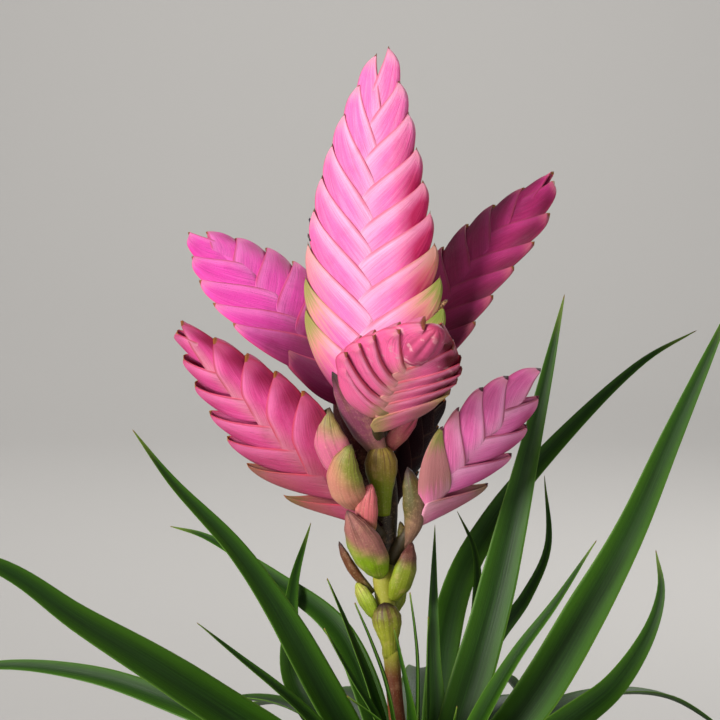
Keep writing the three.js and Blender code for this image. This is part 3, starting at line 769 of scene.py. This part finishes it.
def bract_material(name, look):
    """Waxy bract: pale beside its margin, deeper towards the one below, partly as painted shade, fibres
    along its length.
    """
    n = Nodes(name)
    along, across, tone, rank = n.attribute("marks")
    band, edge, right, down = n.attribute("places")
    shift = n.times(tone, 9.0)
    fine = n.fibres(n.times(along, 2.2), n.times(across, 60.0), shift, 4, 0.65)
    broad = n.fibres(n.times(along, 1.4), n.times(across, 12.0), shift, 2)
    blotch = n.noise(n.position(), 110, 5, 0.62)
    grain = n.noise(n.position(), 1500, 3, 0.7)
    n.colour = n.mix(n.ramp(band, 0.02, 0.7), look.pale, look.body)
    n.paint(look.pale, n.ramp(broad, 0.42, 0.72), 0.3)
    n.paint(look.pale, n.ramp(grain, 0.5, 0.8), 0.2)
    # The outer lower part of each bract is the most strongly coloured: partly its own colour, partly
    # painted shade beside the bract below, darkest on the row turned from the light.
    outer = n.times(n.between(n.ramp(band, 0.1, 0.9), 0.4, 1), n.ramp(edge, 0.3, 0.85))
    outer = n.times(outer, n.ramp(down, look.deep_from - 0.3, look.deep_from))
    n.paint(look.deep, outer, n.between(right, *look.depth))
    # The seam between the two rows has its own colour.
    seam = n.ramp(n.plus(edge, n.times(broad, 0.3)), 0.5, 0.05)
    n.paint(look.seam, seam, look.heart)
    n.paint(look.deep, n.ramp(fine, 0.42, 0.7), 0.3)
    n.paint(look.deep, n.ramp(blotch, 0.5, 0.75), 0.18)
    # Painted highlights: whitish patches near the top of some spikes.
    highlight_patches = n.ramp(n.noise(n.position(), 190, 3, 0.6), 0.56, 0.68)
    n.paint(HIGHLIGHT_PINK, highlight_patches, n.ramp(down, 0.42, 0.2), look.highlight_share)
    # Towards the stem the whole spike takes its base colour: the bracts' own tan on the front and the lower
    # right, a darker pink on the lower left, and on the upper two a dark maroon that is partly painted
    # shade.
    base = n.ramp(n.plus(down, n.times(blotch, 0.1)), *look.base_range)
    n.paint(look.base, base, look.base_share)
    # The keel and the margin are coral lines, and the coral spreads at the tip.
    n.paint(look.margin, n.ramp(across, 0.12, 0.0), n.ramp(along, 0.3, 0.8), 0.55)
    n.paint(look.margin, n.ramp(across, 0.9, 0.985), n.ramp(along, 0.0, 0.3), 0.75)
    n.paint(look.tip, n.ramp(n.plus(along, n.times(broad, 0.16)), 0.86, 1.06), 0.4)
    # The lowest bracts are greenish, most of all towards their tips.
    low = n.ramp(rank, look.green_to + 0.12, look.green_to - 0.12)
    low = n.times(low, n.between(right, *look.greening))
    patchy = n.plus(along, n.times(broad, 0.4))
    n.paint(look.tan, low, n.ramp(patchy, look.tan_from, look.tan_from + 0.4))
    n.paint(look.green, low, n.ramp(patchy, look.green_from, look.green_from + 0.3))
    n.paint(look.green, n.ramp(rank, 0.32, 0.05), seam, look.green_seam)
    # The stalk under the bracts is dark.
    n.paint(STALK_BROWN, n.ramp(rank, -0.2, -0.6))
    # A withered flower is brown or nearly black.
    brown = n.mix(n.ramp(grain, 0.4, 0.6), WITHERED.brown, WITHERED.straw)
    n.paint(n.mix(tone, WITHERED.purple, brown), n.ramp(rank, -1.2, -1.8))
    # Each tip has dried.
    n.paint(look.dry, n.ramp(n.plus(along, n.times(fine, 0.03)), 0.985, 0.998))
    n.set_flesh(0.12, (0.003, 0.001, 0.0013))
    height = n.plus(n.times(fine, 0.9), n.times(grain, 0.35), n.times(blotch, 0.8), n.times(broad, 0.9))
    n.bump(height, 0.6, 0.0006)
    return n.finish(n.between(blotch, 0.4, 0.65), look.gloss)


# ---- Leaves ------------------------------------------------------------------

STUMP = Record(x=3, y=0, radius=12, foot=74, top=122, top_radius=8, root_ring=6, root_height=111, sides=24)
# The keel is how far the middle of a leaf stands out below.
LEAF = Record(thickness=0.9, channel=0.16, keel=0.25, rows=48, steps=12, last=0.995)

LEAF_WIDTHS = [
    (0, 0.5), (0.14, 0.94), (0.3, 1), (0.45, 0.9), (0.6, 0.68), (0.74, 0.47), (0.87, 0.27), (0.96, 0.1),
    (1, 0.02),
]

# Width, how far the upper side turns to the viewer, and points of the middle line from the stump out.
FRONT_LEAVES = [
    (14.5, 0.7, [(-31, -6, 160), (-53, -12, 201), (-70, -17, 227), (-94, -22, 254), (-109, -26, 275)]),
    (18, 0.75, [(-59, -14, 151), (-98, -34, 182), (-128, -48, 204), (-156, -60, 226), (-198, -74, 240)]),
    (12, 0.7, [(-71, 8, 149), (-97, 16, 158), (-131, 26, 167), (-171, 36, 169), (-206, 44, 160)]),
    (7, 0.6, [(-40, -22, 160), (-53, -30, 174), (-66, -36, 186), (-83, -44, 202)]),
    (12, 0.7, [(-27, 34, 181), (-56, 60, 201), (-87, 84, 216), (-104, 96, 219)]),
    (12, 0.8, [(-46, 16, 165), (-49, 34, 184), (-48, 50, 202), (-41, 66, 225)]),
    (8, 0.5, [(-15.6, -12, 168), (-23, -14, 189), (-33, -18, 215)]),
    (7, 0.4, [(-8.8, -14, 168), (-15, -18, 188), (-22, -22, 206)]),
    (8, 0.4, [(0, -20, 160), (-3, -24, 178), (-6.7, -28, 197)]),
    (6, 0.5, [(3, -8, 177), (2, -9, 192), (0, -10, 208)]),
    (8, 0.8, [(11, 6, 153), (10, 8, 177), (10, 10, 205), (10.5, 12, 232)]),
    (6.5, 0.5, [(7, -12, 157), (7, -16, 178), (6.9, -20, 200)]),
    (6, 0.3, [(-1.4, -40, 150), (-12, -48, 164), (-25, -56, 176)]),
    (6, 0.3, [(14, -40, 144), (16, -50, 162), (17, -56, 172)]),
    (7, 0.5, [(-13.7, -22, 159), (-24, -28, 178), (-34, -34, 198)]),
    (17, 0.85, [(21, 4, 155), (33, 12, 194), (43, 18, 234), (55, 24, 285), (64, 28, 325)]),
    (13, 0.7, [(20, 50, 195), (36, 66, 224), (61, 84, 252), (106, 110, 291), (131, 120, 304)]),
    (18, 0.8, [(49, -14, 165), (70, -24, 204), (85, -32, 235), (100, -42, 274), (123, -54, 331)]),
    (9, 0.6, [(29, -22, 162), (42, -30, 187), (56, -36, 208), (71, -44, 234)]),
    (15, 0.75, [(69, 18, 151), (86, 26, 163), (101, 34, 184), (106, 38, 201), (104, 42, 217)]),
    (9, 0.7, [(34, 50, 172), (52, 72, 192), (62, 84, 212), (61, 94, 242)]),
    (8, 0.7, [(26, 24, 176), (29, 34, 201), (28, 42, 217), (21, 52, 232)]),
]

# The leaves that finish the circle, spread between two turns in degrees.
OUTER_SEED = 11
OUTER_FOOT = 112
OUTER_LEAVES = [
    Record(count=7, turns=(196, 344), reach=150, rise=60, droop=62, width=17),
    Record(count=7, turns=(20, 160), reach=145, rise=58, droop=48, width=16),
]


class LinearRandom:
    """The same small repeatable random source as the solids use."""

    def __init__(self, seed):
        self.state = seed

    def __call__(self):
        self.state = (self.state * 1664525 + 1013904223) % 4294967296
        return self.state / 4294967296

    def varied(self, value, share):
        """A value up to a share smaller or larger."""
        return value * (1 + share * (2 * self() - 1))


def outer_leaves():
    """The widths, turns to the viewer and paths of the leaves that finish the circle."""
    draw = LinearRandom(OUTER_SEED)
    leaves = []
    for group in OUTER_LEAVES:
        for index in range(group.count):
            share = (index + 0.25 + 0.5 * draw()) / group.count
            turn = math.radians(lerp(*group.turns, share))
            reach = draw.varied(group.reach, 0.14)
            rise = draw.varied(group.rise, 0.15)
            path = []
            for part in (0.25, 0.5, 0.75, 1):
                height = rise * (1 - (1 - part) ** 2) - group.droop * part**3
                x = STUMP.x + reach * part * math.cos(turn)
                y = STUMP.y + reach * part * math.sin(turn)
                path.append((x, y, OUTER_FOOT + height))
            leaves.append((draw.varied(group.width, 0.15), 0, path))
    return leaves


def leaf_ring(half, thin):
    """Across, up and side, 1 above and 0 below, of points round a leaf's channelled section."""
    for side, keel in ((1, 0), (-1, LEAF.keel)):
        for step in range(LEAF.steps + 1):
            x = side * (2 * step / LEAF.steps - 1)
            rise = 2 * LEAF.channel * half * abs(x) ** 1.6
            rise += side * thin / 2 * (1 - 0.55 * x * x) - keel * (1 - abs(x)) ** 3
            yield x, rise, (side + 1) / 2


def add_leaf(pile, width, to_front, path, dice):
    """A channelled strap leaf with a rounded keel under it."""
    heart = Vector((STUMP.x, STUMP.y, STUMP.root_height))
    inward = (heart - Vector(path[-1])) * Vector((1, 1, 0))
    inward.normalize()
    curve = Curve.through([heart - inward * STUMP.root_ring, *path])
    tone = dice.random()
    wave = dice.uniform(0, 6.28)
    rings, marks = [], []
    for row in range(LEAF.rows + 1):
        share = row / LEAF.rows * LEAF.last
        centre = curve.point(share)
        tangent = curve.tangent(share)
        upper = square_to(tangent, Vector((0, 0, 0.8)) + inward * 0.6)
        upper = square_to(tangent, upper * (1 - to_front) + Vector((0, -to_front, 0)))
        across = tangent.cross(upper)
        width_share = read_table(LEAF_WIDTHS, share, ease=0)
        half = width / 2 * width_share * (1 + 0.02 * math.sin(wave + 17 * share))
        ring, ring_marks = [], []
        for x, rise, side in leaf_ring(half, LEAF.thickness * (0.5 + 0.5 * width_share)):
            ring.append(centre + across * (x * half) + upper * rise)
            ring_marks.append((share, (x + 1) / 2, tone, side))
        rings.append(ring)
        marks.append(ring_marks)
    pile.add_rings(rings, marks, curve.point(1), (1, 0.5, tone, 1))


def make_leaves(dice):
    pile = Pile()
    for width, to_front, path in FRONT_LEAVES + outer_leaves():
        add_leaf(pile, width, to_front, path, dice)
    ends = ((STUMP.foot, STUMP.radius), (STUMP.top, STUMP.top_radius))
    rings = [circle((STUMP.x, STUMP.y, z), radius, STUMP.sides) for z, radius in ends]
    pile.add_rings(rings, same((0, 0.5, 0.5, 0), rings))
    return pile.make("strap_leaves")


LEAF_COLOURS = Record(
    middle=(18, 42, 2), side=(48, 84, 6), vein=(46, 86, 20), patch=(24, 60, 8), rim=(100, 132, 52),
    tip=(120, 140, 50), dry=(120, 96, 50),
)


def leaf_material():
    """Dark waxy strap leaf: paler towards its edges, with fine veins along it."""
    n = Nodes("leaf_green")
    along, across, tone, _ = n.attribute("marks")
    from_middle = n.math("ABSOLUTE", n.between(across, -1, 1))
    veins = n.fibres(n.times(along, 5.0), n.times(across, 40.0), tone, 3)
    patch = n.noise(n.position(), 28, 4)
    n.colour = n.mix(n.ramp(from_middle, 0.15, 0.98), LEAF_COLOURS.middle, LEAF_COLOURS.side)
    n.paint(LEAF_COLOURS.vein, n.ramp(veins, 0.35, 0.72), 0.35)
    n.paint(LEAF_COLOURS.patch, n.ramp(patch, 0.4, 0.75), 0.3)
    n.paint(LEAF_COLOURS.rim, n.ramp(from_middle, 0.9, 0.99), 0.5)
    n.paint(LEAF_COLOURS.tip, n.ramp(along, 0.9, 1.0), 0.5)
    n.paint(LEAF_COLOURS.dry, n.ramp(along, 0.985, 0.998))
    n.set_flesh(0.06, (0.001, 0.002, 0.0005))
    n.bump(veins, 0.3, 0.0004)
    return n.finish(0.48, 0.16)


# ---- Stem --------------------------------------------------------------------

# The middle of each ring, and its radius.
STEM_RINGS = [
    ((1, 0, 106), 4.4), ((-2, 0, 132), 3.9), ((-5.6, 0, 160), 3.3), ((-7, 0, 178), 3.3),
    ((-7.2, 0, 181.5), 4), ((-7.6, 0, 185), 3.5), ((-9.6, 0, 200), 3.9), ((-10.6, 0, 214), 4.4),
    ((-9.8, 0, 229), 4.6), ((-9.6, 0, 245), 4.8), ((-10.6, 1, 258), 4.4), ((-12, 2, 268), 3.6),
]

# How wide a scale is along its length, as shares of its full width.
SCALE_SHAPES = {
    "barrel": [
        (0, 0.42), (0.17, 0.5), (0.32, 0.62), (0.46, 0.8), (0.61, 0.97), (0.74, 1), (0.87, 0.8),
        (0.96, 0.42), (1, 0.05),
    ],
    "boat": [(0, 0.5), (0.2, 0.84), (0.5, 1), (0.76, 0.82), (0.93, 0.4), (1, 0.04)],
    "horn": [(0, 0.3), (0.2, 0.42), (0.4, 0.8), (0.6, 1), (0.8, 0.8), (0.93, 0.4), (1, 0.04)],
    "pouch": [(0, 0.4), (0.1, 0.72), (0.28, 1), (0.55, 1), (0.76, 0.72), (0.92, 0.32), (1, 0.04)],
}


class Scale(Record):
    """A scale of the stem. low and high are its colours from its foot up, changing over turn, and lean
    makes the change come lower on its right side. end is how much of the tip is dry and dark."""

    fields = (
        "foot", "belly", "tip", "out", "width", "bulge", "shape", "low", "high", "end", "turn", "lean",
    )
    turn = (0.4, 0.8)
    lean = 0


GREEN, OCHRE, DARK = (118, 130, 20), (140, 112, 56), (64, 60, 20)
TAN, SALMON, PURPLE = (158, 116, 84), (184, 92, 96), (92, 48, 44)

STEM_SCALES = [
    # The round bud in front, with the salmon bract beside it.
    Scale((-10.4, -3.5, 238), (-11.4, -6, 254), (-12.1, -9, 267.6), (0, -1, 0.1), 13.2, 9,
          "barrel", (112, 128, 14), (132, 112, 38), 0.06, (0.35, 0.75), 0.1),
    Scale((-16.5, -8, 231), (-18.8, -16, 243), (-15.3, -17, 252.4), (-0.3, -1, 0), 9.5, 6,
          "boat", OCHRE, SALMON, 0, (0.05, 0.45)),
    # The scales below it, down to the sheath that closes round the stem.
    Scale((-12.4, -3, 213.6), (-15.8, -12.5, 224), (-25.2, -18, 242), (-0.4, -1, 0.1), 14.5, 9.5,
          "pouch", (116, 146, 12), (142, 88, 82), 0.04, (0.35, 0.62), 0.2),
    Scale((-14.6, 0.5, 206), (-24, 1, 214), (-28.5, 1, 226.8), (-1, -0.3, 0), 6.4, 4,
          "boat", (70, 66, 10), (88, 44, 16), 0.1, (0.1, 0.4)),
    Scale((-13.8, -1.5, 196), (-17.4, -5, 204), (-21.6, -2, 210.4), (-0.7, -0.8, 0), 8, 5,
          "boat", (130, 150, 30), (160, 170, 60), 0),
    Scale((-6.7, -2, 204), (-2.6, -8, 211), (0.8, -5, 227.7), (0.7, -0.8, 0), 10.4, 7.4,
          "pouch", (120, 132, 24), PURPLE, 0.05, (0.55, 0.75)),
    Scale((-4.5, -1, 219), (-1.8, -4, 228), (-4, -4, 235.6), (0.6, -0.8, 0), 5, 4,
          "boat", DARK, (90, 92, 16), 0.04),
    Scale((-7.9, -1.5, 180), (-8.2, -5, 191), (-10.4, -5.5, 203), (0, -1, 0), 12, 8.4,
          "barrel", (140, 144, 40), (100, 100, 20), 0.12, (0.5, 0.9)),
    Scale((-8.5, 3, 196), (-6.5, 8, 208), (-5, 9.5, 219), (0.1, 1, 0), 12, 7, "pouch", GREEN, TAN, 0.1),
    Scale((-12, 3.5, 216), (-14, 9, 229), (-17, 11, 240), (-0.3, 1, 0), 12, 7, "boat", GREEN, TAN, 0.1),
    # A dark sheath behind them, up to the foot of the upper left spike, its darkness partly painted shade.
    Scale((-12, 2, 238), (-21.5, 1, 264), (-30, 6, 290), (-0.6, -0.8, 0), 14.5, 6,
          "boat", (52, 24, 18), (92, 26, 36), 0.04),
    # Two plump bracts at the foot of the lower left spike.
    Scale((-23.5, -13, 254), (-36.2, -19, 271.5), (-31.8, -21, 283.1), (-0.41, -0.86, -0.3), 15.2, 8,
          "pouch", (190, 92, 124), (128, 118, 54), 0.08, (0.5, 0.9), 0.1),
    Scale((-21, -9, 242), (-30, -22.5, 254.8), (-23.3, -24.5, 269), (-0.3, -0.9, -0.3), 14.8, 8.5,
          "pouch", (180, 116, 98), (112, 116, 36), 0.05, (0.4, 0.85), 0.25),
    # Sheaths at the feet of the front spike and the lower right spike.
    Scale((-12, -4, 262), (-23.5, -21, 283.8), (-31, -23, 297.4), (-0.5, -0.8, -0.4), 14, 6.5,
          "pouch", (150, 118, 88), (124, 56, 84), 0.16, (0, 0.35)),
    Scale((-10.5, -1, 263), (-5.5, -9, 270), (3, -12.5, 280), (0.2, -0.9, -0.3), 8, 4.5,
          "boat", (160, 80, 84), (176, 70, 96), 0.06),
    Scale((-5, -2.5, 223), (6.2, -10, 232.5), (-1.2, -8, 258), (0.1, -1, 0), 9.6, 6,
          "horn", (112, 80, 66), (76, 72, 24), 0.14, (0.35, 0.8), -0.25),
]


def add_stem_core(pile):
    sides, rows = 24, 80
    centre = Curve.through([at for at, _ in STEM_RINGS])
    radii = [(at[2], radius) for at, radius in STEM_RINGS]
    rings, marks = [], []
    for index in range(rows + 1):
        point = centre.point(index / rows)
        rings.append(circle(point, read_table(radii, point.z, ease=1), sides))
        marks.append([(index / rows, 0.5, 0.5, 0)] * sides)
    pile.add_rings(rings, marks, places=same((0, 0, 0, 0), rings))


def scale_rings(scale):
    """Rings of a plump pointed scale with a low keel down its back, each with its share of the length."""
    rows, sides = 30, 36
    keel_height, keel_width = 0.07, 0.25
    line = Curve.quadratic((scale.foot, scale.belly, scale.tip))
    for index in range(rows):
        share = 1 - (1 - index / rows) ** 1.25
        size = read_table(SCALE_SHAPES[scale.shape], share) / 2
        tangent = line.tangent(share)
        out = square_to(tangent, Vector(scale.out))
        side = tangent.cross(out)
        ring = []
        for turn in turns(sides):
            keel = 1 + keel_height * math.exp(-(((turn - math.pi / 2) / keel_width) ** 2))
            x = math.cos(turn) * scale.width * size
            y = math.sin(turn) * scale.bulge * size * keel
            ring.append(line.point(share) + side * x + out * y)
        yield share, ring


def scale_tints(scale, share, sides):
    """The places of a scale's ring: its colour all round, and how dry it is."""
    low, high = linear_colour(scale.low)[:3], linear_colour(scale.high)[:3]
    dry = smooth_step(0.96 - scale.end, 1.03 - 0.4 * scale.end, share) if scale.end else 0
    for turn in turns(sides):
        rise = smooth_step(*scale.turn, share + scale.lean * math.cos(turn))
        yield (*(lerp(a, b, rise) for a, b in zip(low, high)), dry)


def add_scale(pile, scale, dice):
    """A scale that wraps the stem."""
    tone = dice.random()
    rings, marks, places = [], [], []
    for share, ring in scale_rings(scale):
        sides = len(ring)
        rings.append(ring)
        marks.append([(share, k / sides, tone, 1) for k in range(sides)])
        places.append(list(scale_tints(scale, share, sides)))
    pile.add_rings(rings, marks, Vector(scale.tip), (1, 0.5, tone, 1), places)


def make_stem(dice):
    pile = Pile()
    add_stem_core(pile)
    for scale in STEM_SCALES:
        add_scale(pile, scale, dice)
    return pile.make("stem_and_scales")


STEM_COLOURS = Record(
    foot=(104, 52, 26), middle=(140, 138, 44), top=(38, 28, 12), streak=(70, 66, 20),
    grain=(196, 150, 112), dots=(220, 196, 150), vein=(84, 36, 34), dry=(48, 30, 28),
)


def stem_material():
    """Green stem that turns reddish below and nearly black between the buds, that black partly painted
    shade, with coloured scales.
    """
    n = Nodes("stem_green")
    along, around, tone, is_scale = n.attribute("marks")
    tint, dry = n.tint("places")
    grain = n.noise(n.position(), 160, 4, 0.6)
    dots = n.noise(n.position(), 1300, 2, 0.6)
    streak = n.fibres(n.times(along, 1.2), n.times(around, 34.0), n.times(tone, 9.0), 3)
    core = n.mix(n.ramp(along, 0.4, 0.47), STEM_COLOURS.foot, STEM_COLOURS.middle)
    # The nearly black top is partly the stem's own colour and partly painted shade among the buds.
    core = n.mix(n.ramp(along, 0.66, 0.74), core, STEM_COLOURS.top)
    n.colour = n.mix(is_scale, core, tint)
    n.paint(STEM_COLOURS.streak, n.ramp(streak, 0.42, 0.7), 0.35)
    n.paint(STEM_COLOURS.grain, n.ramp(grain, 0.5, 0.75), 0.3)
    n.paint(STEM_COLOURS.dots, n.ramp(dots, 0.52, 0.75), 0.16)
    # Dark veins run down each scale from its tip.
    veins = n.times(n.ramp(streak, 0.47, 0.6), n.ramp(along, 0.5, 0.92))
    n.paint(STEM_COLOURS.vein, veins, is_scale, 0.7)
    n.paint(STEM_COLOURS.dry, dry)
    n.set_flesh(0.08, (0.002, 0.002, 0.0008))
    n.bump(n.plus(n.times(streak, 0.9), n.times(grain, 0.5)), 0.5, 0.0006)
    return n.finish(n.between(grain, 0.38, 0.63), 0.3)


# ---- Pot and potting mix -----------------------------------------------------

POT = Record(
    base_radius=45, shoulder_radius=55, band_radius=58, rim_radius=60, height=110, wall=2,
    wall_foot=1.5, wall_height=94.5, drain_holes=8, drain_radius=4, drain_ring=28, sides=128,
)
SOIL = Record(
    bottom=3.3, hole_radius=12.3, hole_floor=73.7, hole_top=99, edge_radius=54.4, edge_height=98.5,
    mound=3.5, mound_radius=52, clearance=0.4, middle=0.3, sides=96, rings=26, grain=1.1, chips=260,
)
# The ranges of a chip's half length, width and thickness, and how thick each of its rings is.
CHIP = Record(
    radii=(15, 52), length=(1.6, 4.2), width=(1, 2.4), thickness=(0.6, 1.3), lean=0.35, tilt=0.3,
    rings=(0.55, 1, 0.9, 0.45), sides=6, rough=(0.75, 1.1), twist=0.3, lift=0.5,
)


def pot_radius_at(z):
    """The outer radius of the pot's tapered wall."""
    return lerp(POT.base_radius, POT.shoulder_radius, (z - POT.wall_foot) / POT.wall_height)


def pot_profile():
    """Radius and height, from the middle of the foot, up the outside and down the inside."""
    shoulder, band, rim, top = POT.shoulder_radius, POT.band_radius, POT.rim_radius, POT.height
    foot = [(0.01, 0.8), (36, 0.8), (38, 0), (43.5, 0), (44.6, 0.5), (POT.base_radius, POT.wall_foot)]
    outside = [(pot_radius_at(z), z) for z in (20, 40, 60, 80, 92)]
    step = [(shoulder, 95.4), (shoulder + 0.6, 96), (band - 0.6, 96), (band, 96.6)]
    step += [(band + 0.2, 99), (band + 0.5, 104.8), (band + 0.9, 105.7)]
    lip = [(rim - 0.3, 106), (rim, 106.6), (rim, 108.6), (rim - 0.4, 109.6), (rim - 1.2, top)]
    lip += [(rim - 2.6, top), (rim - 3.2, 109.6)]
    step_inside = [(56.6, 108.6), (56.1, 99), (55.6, 97.8), (53.4, 95), (53, 93.6)]
    inside = [(pot_radius_at(z) - POT.wall, z) for z in (70, 45, 20, 5)]
    floor = [(pot_radius_at(3) - POT.wall - 1, 3), (0.01, 3)]
    return foot + outside + step + lip + step_inside + inside + floor


def make_pot():
    """The pot, with its drain holes cut out of its foot."""
    pile = Pile()
    pile.add_rings([circle((0, 0, z), radius, POT.sides) for radius, z in pot_profile()])
    pot = pile.make("grower_pot")
    pins = Pile()
    pin_ends, pin_sides = (-4, 8), 24
    for x, y, _ in circle((0, 0, 0), POT.drain_ring, POT.drain_holes):
        pins.add_rings([circle((x, y, z), POT.drain_radius, pin_sides) for z in pin_ends])
    cutter = pins.make("drain_cutter")
    cut = pot.modifiers.new("drain holes", "BOOLEAN")
    cut.object = cutter
    cut.solver = "EXACT"
    apply_modifiers(pot)
    bpy.data.objects.remove(cutter)
    return pot


def apply_modifiers(obj):
    """Turns the modified shape into the mesh itself."""
    graph = bpy.context.evaluated_depsgraph_get()
    mesh = bpy.data.meshes.new_from_object(obj.evaluated_get(graph))
    obj.modifiers.clear()
    obj.data = mesh


def pot_material():
    """Matt dark plastic with a fine moulded grain and paler scuffs."""
    plastic, scuffed = (56, 52, 50), (74, 69, 65)
    n = Nodes("pot_plastic")
    grain = n.noise(n.position(), 900, 2)
    scuffs = n.noise(n.position(), 22, 6, 0.65)
    n.colour = n.mix(n.ramp(scuffs, 0.45, 0.75), plastic, scuffed)
    n.bump(grain, 0.25, 0.0002)
    return n.finish(n.between(scuffs, 0.38, 0.63))


def soil_height(radius):
    """The smooth height of the potting mix, highest at the plant."""
    return SOIL.edge_height + SOIL.mound * (1 - smooth_step(0, SOIL.mound_radius, radius))


def add_soil_body(pile, dice):
    """Closed body of the mix: the plain hole for the stump, the lumpy top, and the sides in the pot."""
    rings = []

    def add_ring(radius, z, share=1, lumps=0):
        """A ring round the stump at share 0 and round the pot's middle at share 1."""
        ring = circle((STUMP.x * (1 - share), 0, z), radius, SOIL.sides)
        for point in ring:
            point.z += lumps * dice.uniform(-1, 1)
        rings.append(ring)

    add_ring(SOIL.middle, SOIL.hole_floor, 0)
    add_ring(SOIL.hole_radius, SOIL.hole_floor, 0)
    add_ring(SOIL.hole_radius, SOIL.hole_top, 0)
    for step in range(SOIL.rings + 1):
        share = step / SOIL.rings
        radius = lerp(SOIL.hole_radius + SOIL.clearance, SOIL.edge_radius, share)
        add_ring(radius, soil_height(radius), share, SOIL.grain if step else 0)
    add_ring(54.5, 96.9)
    add_ring(52.6, 94)
    add_ring(pot_radius_at(SOIL.bottom) - POT.wall - SOIL.clearance, SOIL.bottom)
    add_ring(SOIL.middle, SOIL.bottom)
    pile.add_rings(rings)


def add_chip(pile, dice):
    """One bit of bark lying in the top of the mix."""
    radius = lerp(*CHIP.radii, math.sqrt(dice.random()))
    turn = dice.uniform(0, 2 * math.pi)
    tone = dice.random()
    long, wide, thick = (dice.uniform(*sizes) for sizes in (CHIP.length, CHIP.width, CHIP.thickness))
    heading = dice.uniform(0, math.pi)
    ahead = Vector((math.cos(heading), math.sin(heading), dice.uniform(-CHIP.lean, CHIP.lean))).normalized()
    beside = Vector((-ahead.y, ahead.x, dice.uniform(-CHIP.tilt, CHIP.tilt))).normalized()
    above = ahead.cross(beside).normalized()
    centre = Vector((radius * math.cos(turn), radius * math.sin(turn), soil_height(radius) + CHIP.lift))
    rings = []
    for step, size in enumerate(CHIP.rings):
        middle = centre + ahead * (long * lerp(-1, 1, step / (len(CHIP.rings) - 1)))
        ring = []
        for t in turns(CHIP.sides):
            t += CHIP.twist * step
            rough = size * dice.uniform(*CHIP.rough)
            ring.append(middle + (beside * (math.cos(t) * wide) + above * (math.sin(t) * thick)) * rough)
        rings.append(ring)
    pile.add_rings(rings, same((1, 0, tone, 1), rings))


def make_soil(dice):
    pile = Pile()
    add_soil_body(pile, dice)
    for _ in range(SOIL.chips):
        add_chip(pile, dice)
    return pile.make("bark_mix")


SOIL_COLOURS = Record(
    peat=(34, 24, 18), crumb=(72, 52, 38), bark=(92, 60, 38), pale_bark=(142, 104, 72), pores=(60, 40, 28)
)


def soil_material():
    """Damp dark peat with lighter bark."""
    n = Nodes("potting_mix")
    is_chip, _, tone, _ = n.attribute("marks")
    crumbs = n.noise(n.position(), 420, 5, 0.7)
    clods = n.noise(n.position(), 90, 3)
    peat = n.mix(n.ramp(crumbs, 0.4, 0.65), SOIL_COLOURS.peat, SOIL_COLOURS.crumb)
    bark = n.mix(tone, SOIL_COLOURS.bark, SOIL_COLOURS.pale_bark)
    bark = n.mix(n.times(n.ramp(crumbs, 0.45, 0.7), 0.5), bark, SOIL_COLOURS.pores)
    n.colour = n.mix(is_chip, peat, bark)
    n.bump(n.plus(crumbs, clods), 0.8, 0.0012)
    return n.finish(0.92)


# ---- Stage and light ---------------------------------------------------------

STAGE = Record(half_width=6000, front=-4000, back=4200, height=5000, bend=1800, steps=16)
STAGE_GREY = (180, 177, 173)

# Place, aim and size in metres, power in watts and colour.
PLANT_MIDDLE = (-0.02, 0, 0.28)
LIGHTS = {
    "key": ((-1.35, -1.35, 0.8), PLANT_MIDDLE, 0.6, 53, (1, 0.985, 0.96)),
    "fill": ((1.2, -1.4, 0.2), PLANT_MIDDLE, 1.6, 8, (0.96, 0.98, 1)),
    "low": ((-0.7, -1.5, 0.06), PLANT_MIDDLE, 0.8, 9, (1, 0.98, 0.96)),
    "back": ((0.7, 1.2, 1.4), PLANT_MIDDLE, 1.0, 16, (1, 1, 1)),
    "backdrop": ((0, 1.6, 2.6), (0, 4.2, 0.9), 1.6, 62, (1, 1, 1)),
}
SURROUNDINGS = Record(colour=(0.8, 0.82, 0.85, 1), strength=0.28)


def add_stage():
    """A pale floor that curves up into a backdrop."""
    bend_start = STAGE.back - STAGE.bend
    profile = [(STAGE.front, 0), (bend_start, 0)]
    for step in range(1, STAGE.steps + 1):
        t = math.pi / 2 * step / STAGE.steps
        profile.append((bend_start + STAGE.bend * math.sin(t), STAGE.bend * (1 - math.cos(t))))
    profile.append((STAGE.back, STAGE.height))
    points = [Vector((x, y, z)) for y, z in profile for x in (-STAGE.half_width, STAGE.half_width)]
    faces = [(2 * k, 2 * k + 1, 2 * k + 3, 2 * k + 2) for k in range(len(profile) - 1)]
    stage = new_object("stage_floor", points, faces)
    n = Nodes("stage_pale")
    n.colour = STAGE_GREY
    stage.data.materials.append(n.finish(0.9))


def add_area_light(name, place, target, size, power, colour):
    data = bpy.data.lights.new(name, "AREA")
    data.shape = "DISK"
    data.size = size
    data.energy = power
    data.color = colour
    light = add_object(name, data)
    light.location = place
    light.rotation_euler = (Vector(target) - Vector(place)).to_track_quat("-Z", "Y").to_euler()


def add_lights():
    for name, settings in LIGHTS.items():
        add_area_light(name, *settings)
    world = bpy.data.worlds.new("studio")
    world.use_nodes = True
    background = world.node_tree.nodes["Background"]
    background.inputs["Color"].default_value = SURROUNDINGS.colour
    background.inputs["Strength"].default_value = SURROUNDINGS.strength
    bpy.context.scene.world = world


# ---- Assembly ----------------------------------------------------------------

SEED = 4


def finish_piece(piece, node, material):
    piece.data.materials.append(material)
    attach(piece, "root")
    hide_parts(node)


def main():
    bpy.context.scene.view_settings.view_transform = "Standard"
    add_camera()
    add_stage()
    add_lights()
    dice = random.Random(SEED)
    for name, spike in SPIKES.items():
        material = bract_material("bracts_of_" + name, LOOKS[name])
        finish_piece(make_spike(name, spike, dice), name, material)
    finish_piece(make_leaves(dice), "leaf_rosette", leaf_material())
    finish_piece(make_stem(dice), "flower_stem", stem_material())
    finish_piece(make_pot(), "pot", pot_material())
    finish_piece(make_soil(dice), "soil", soil_material())


main()
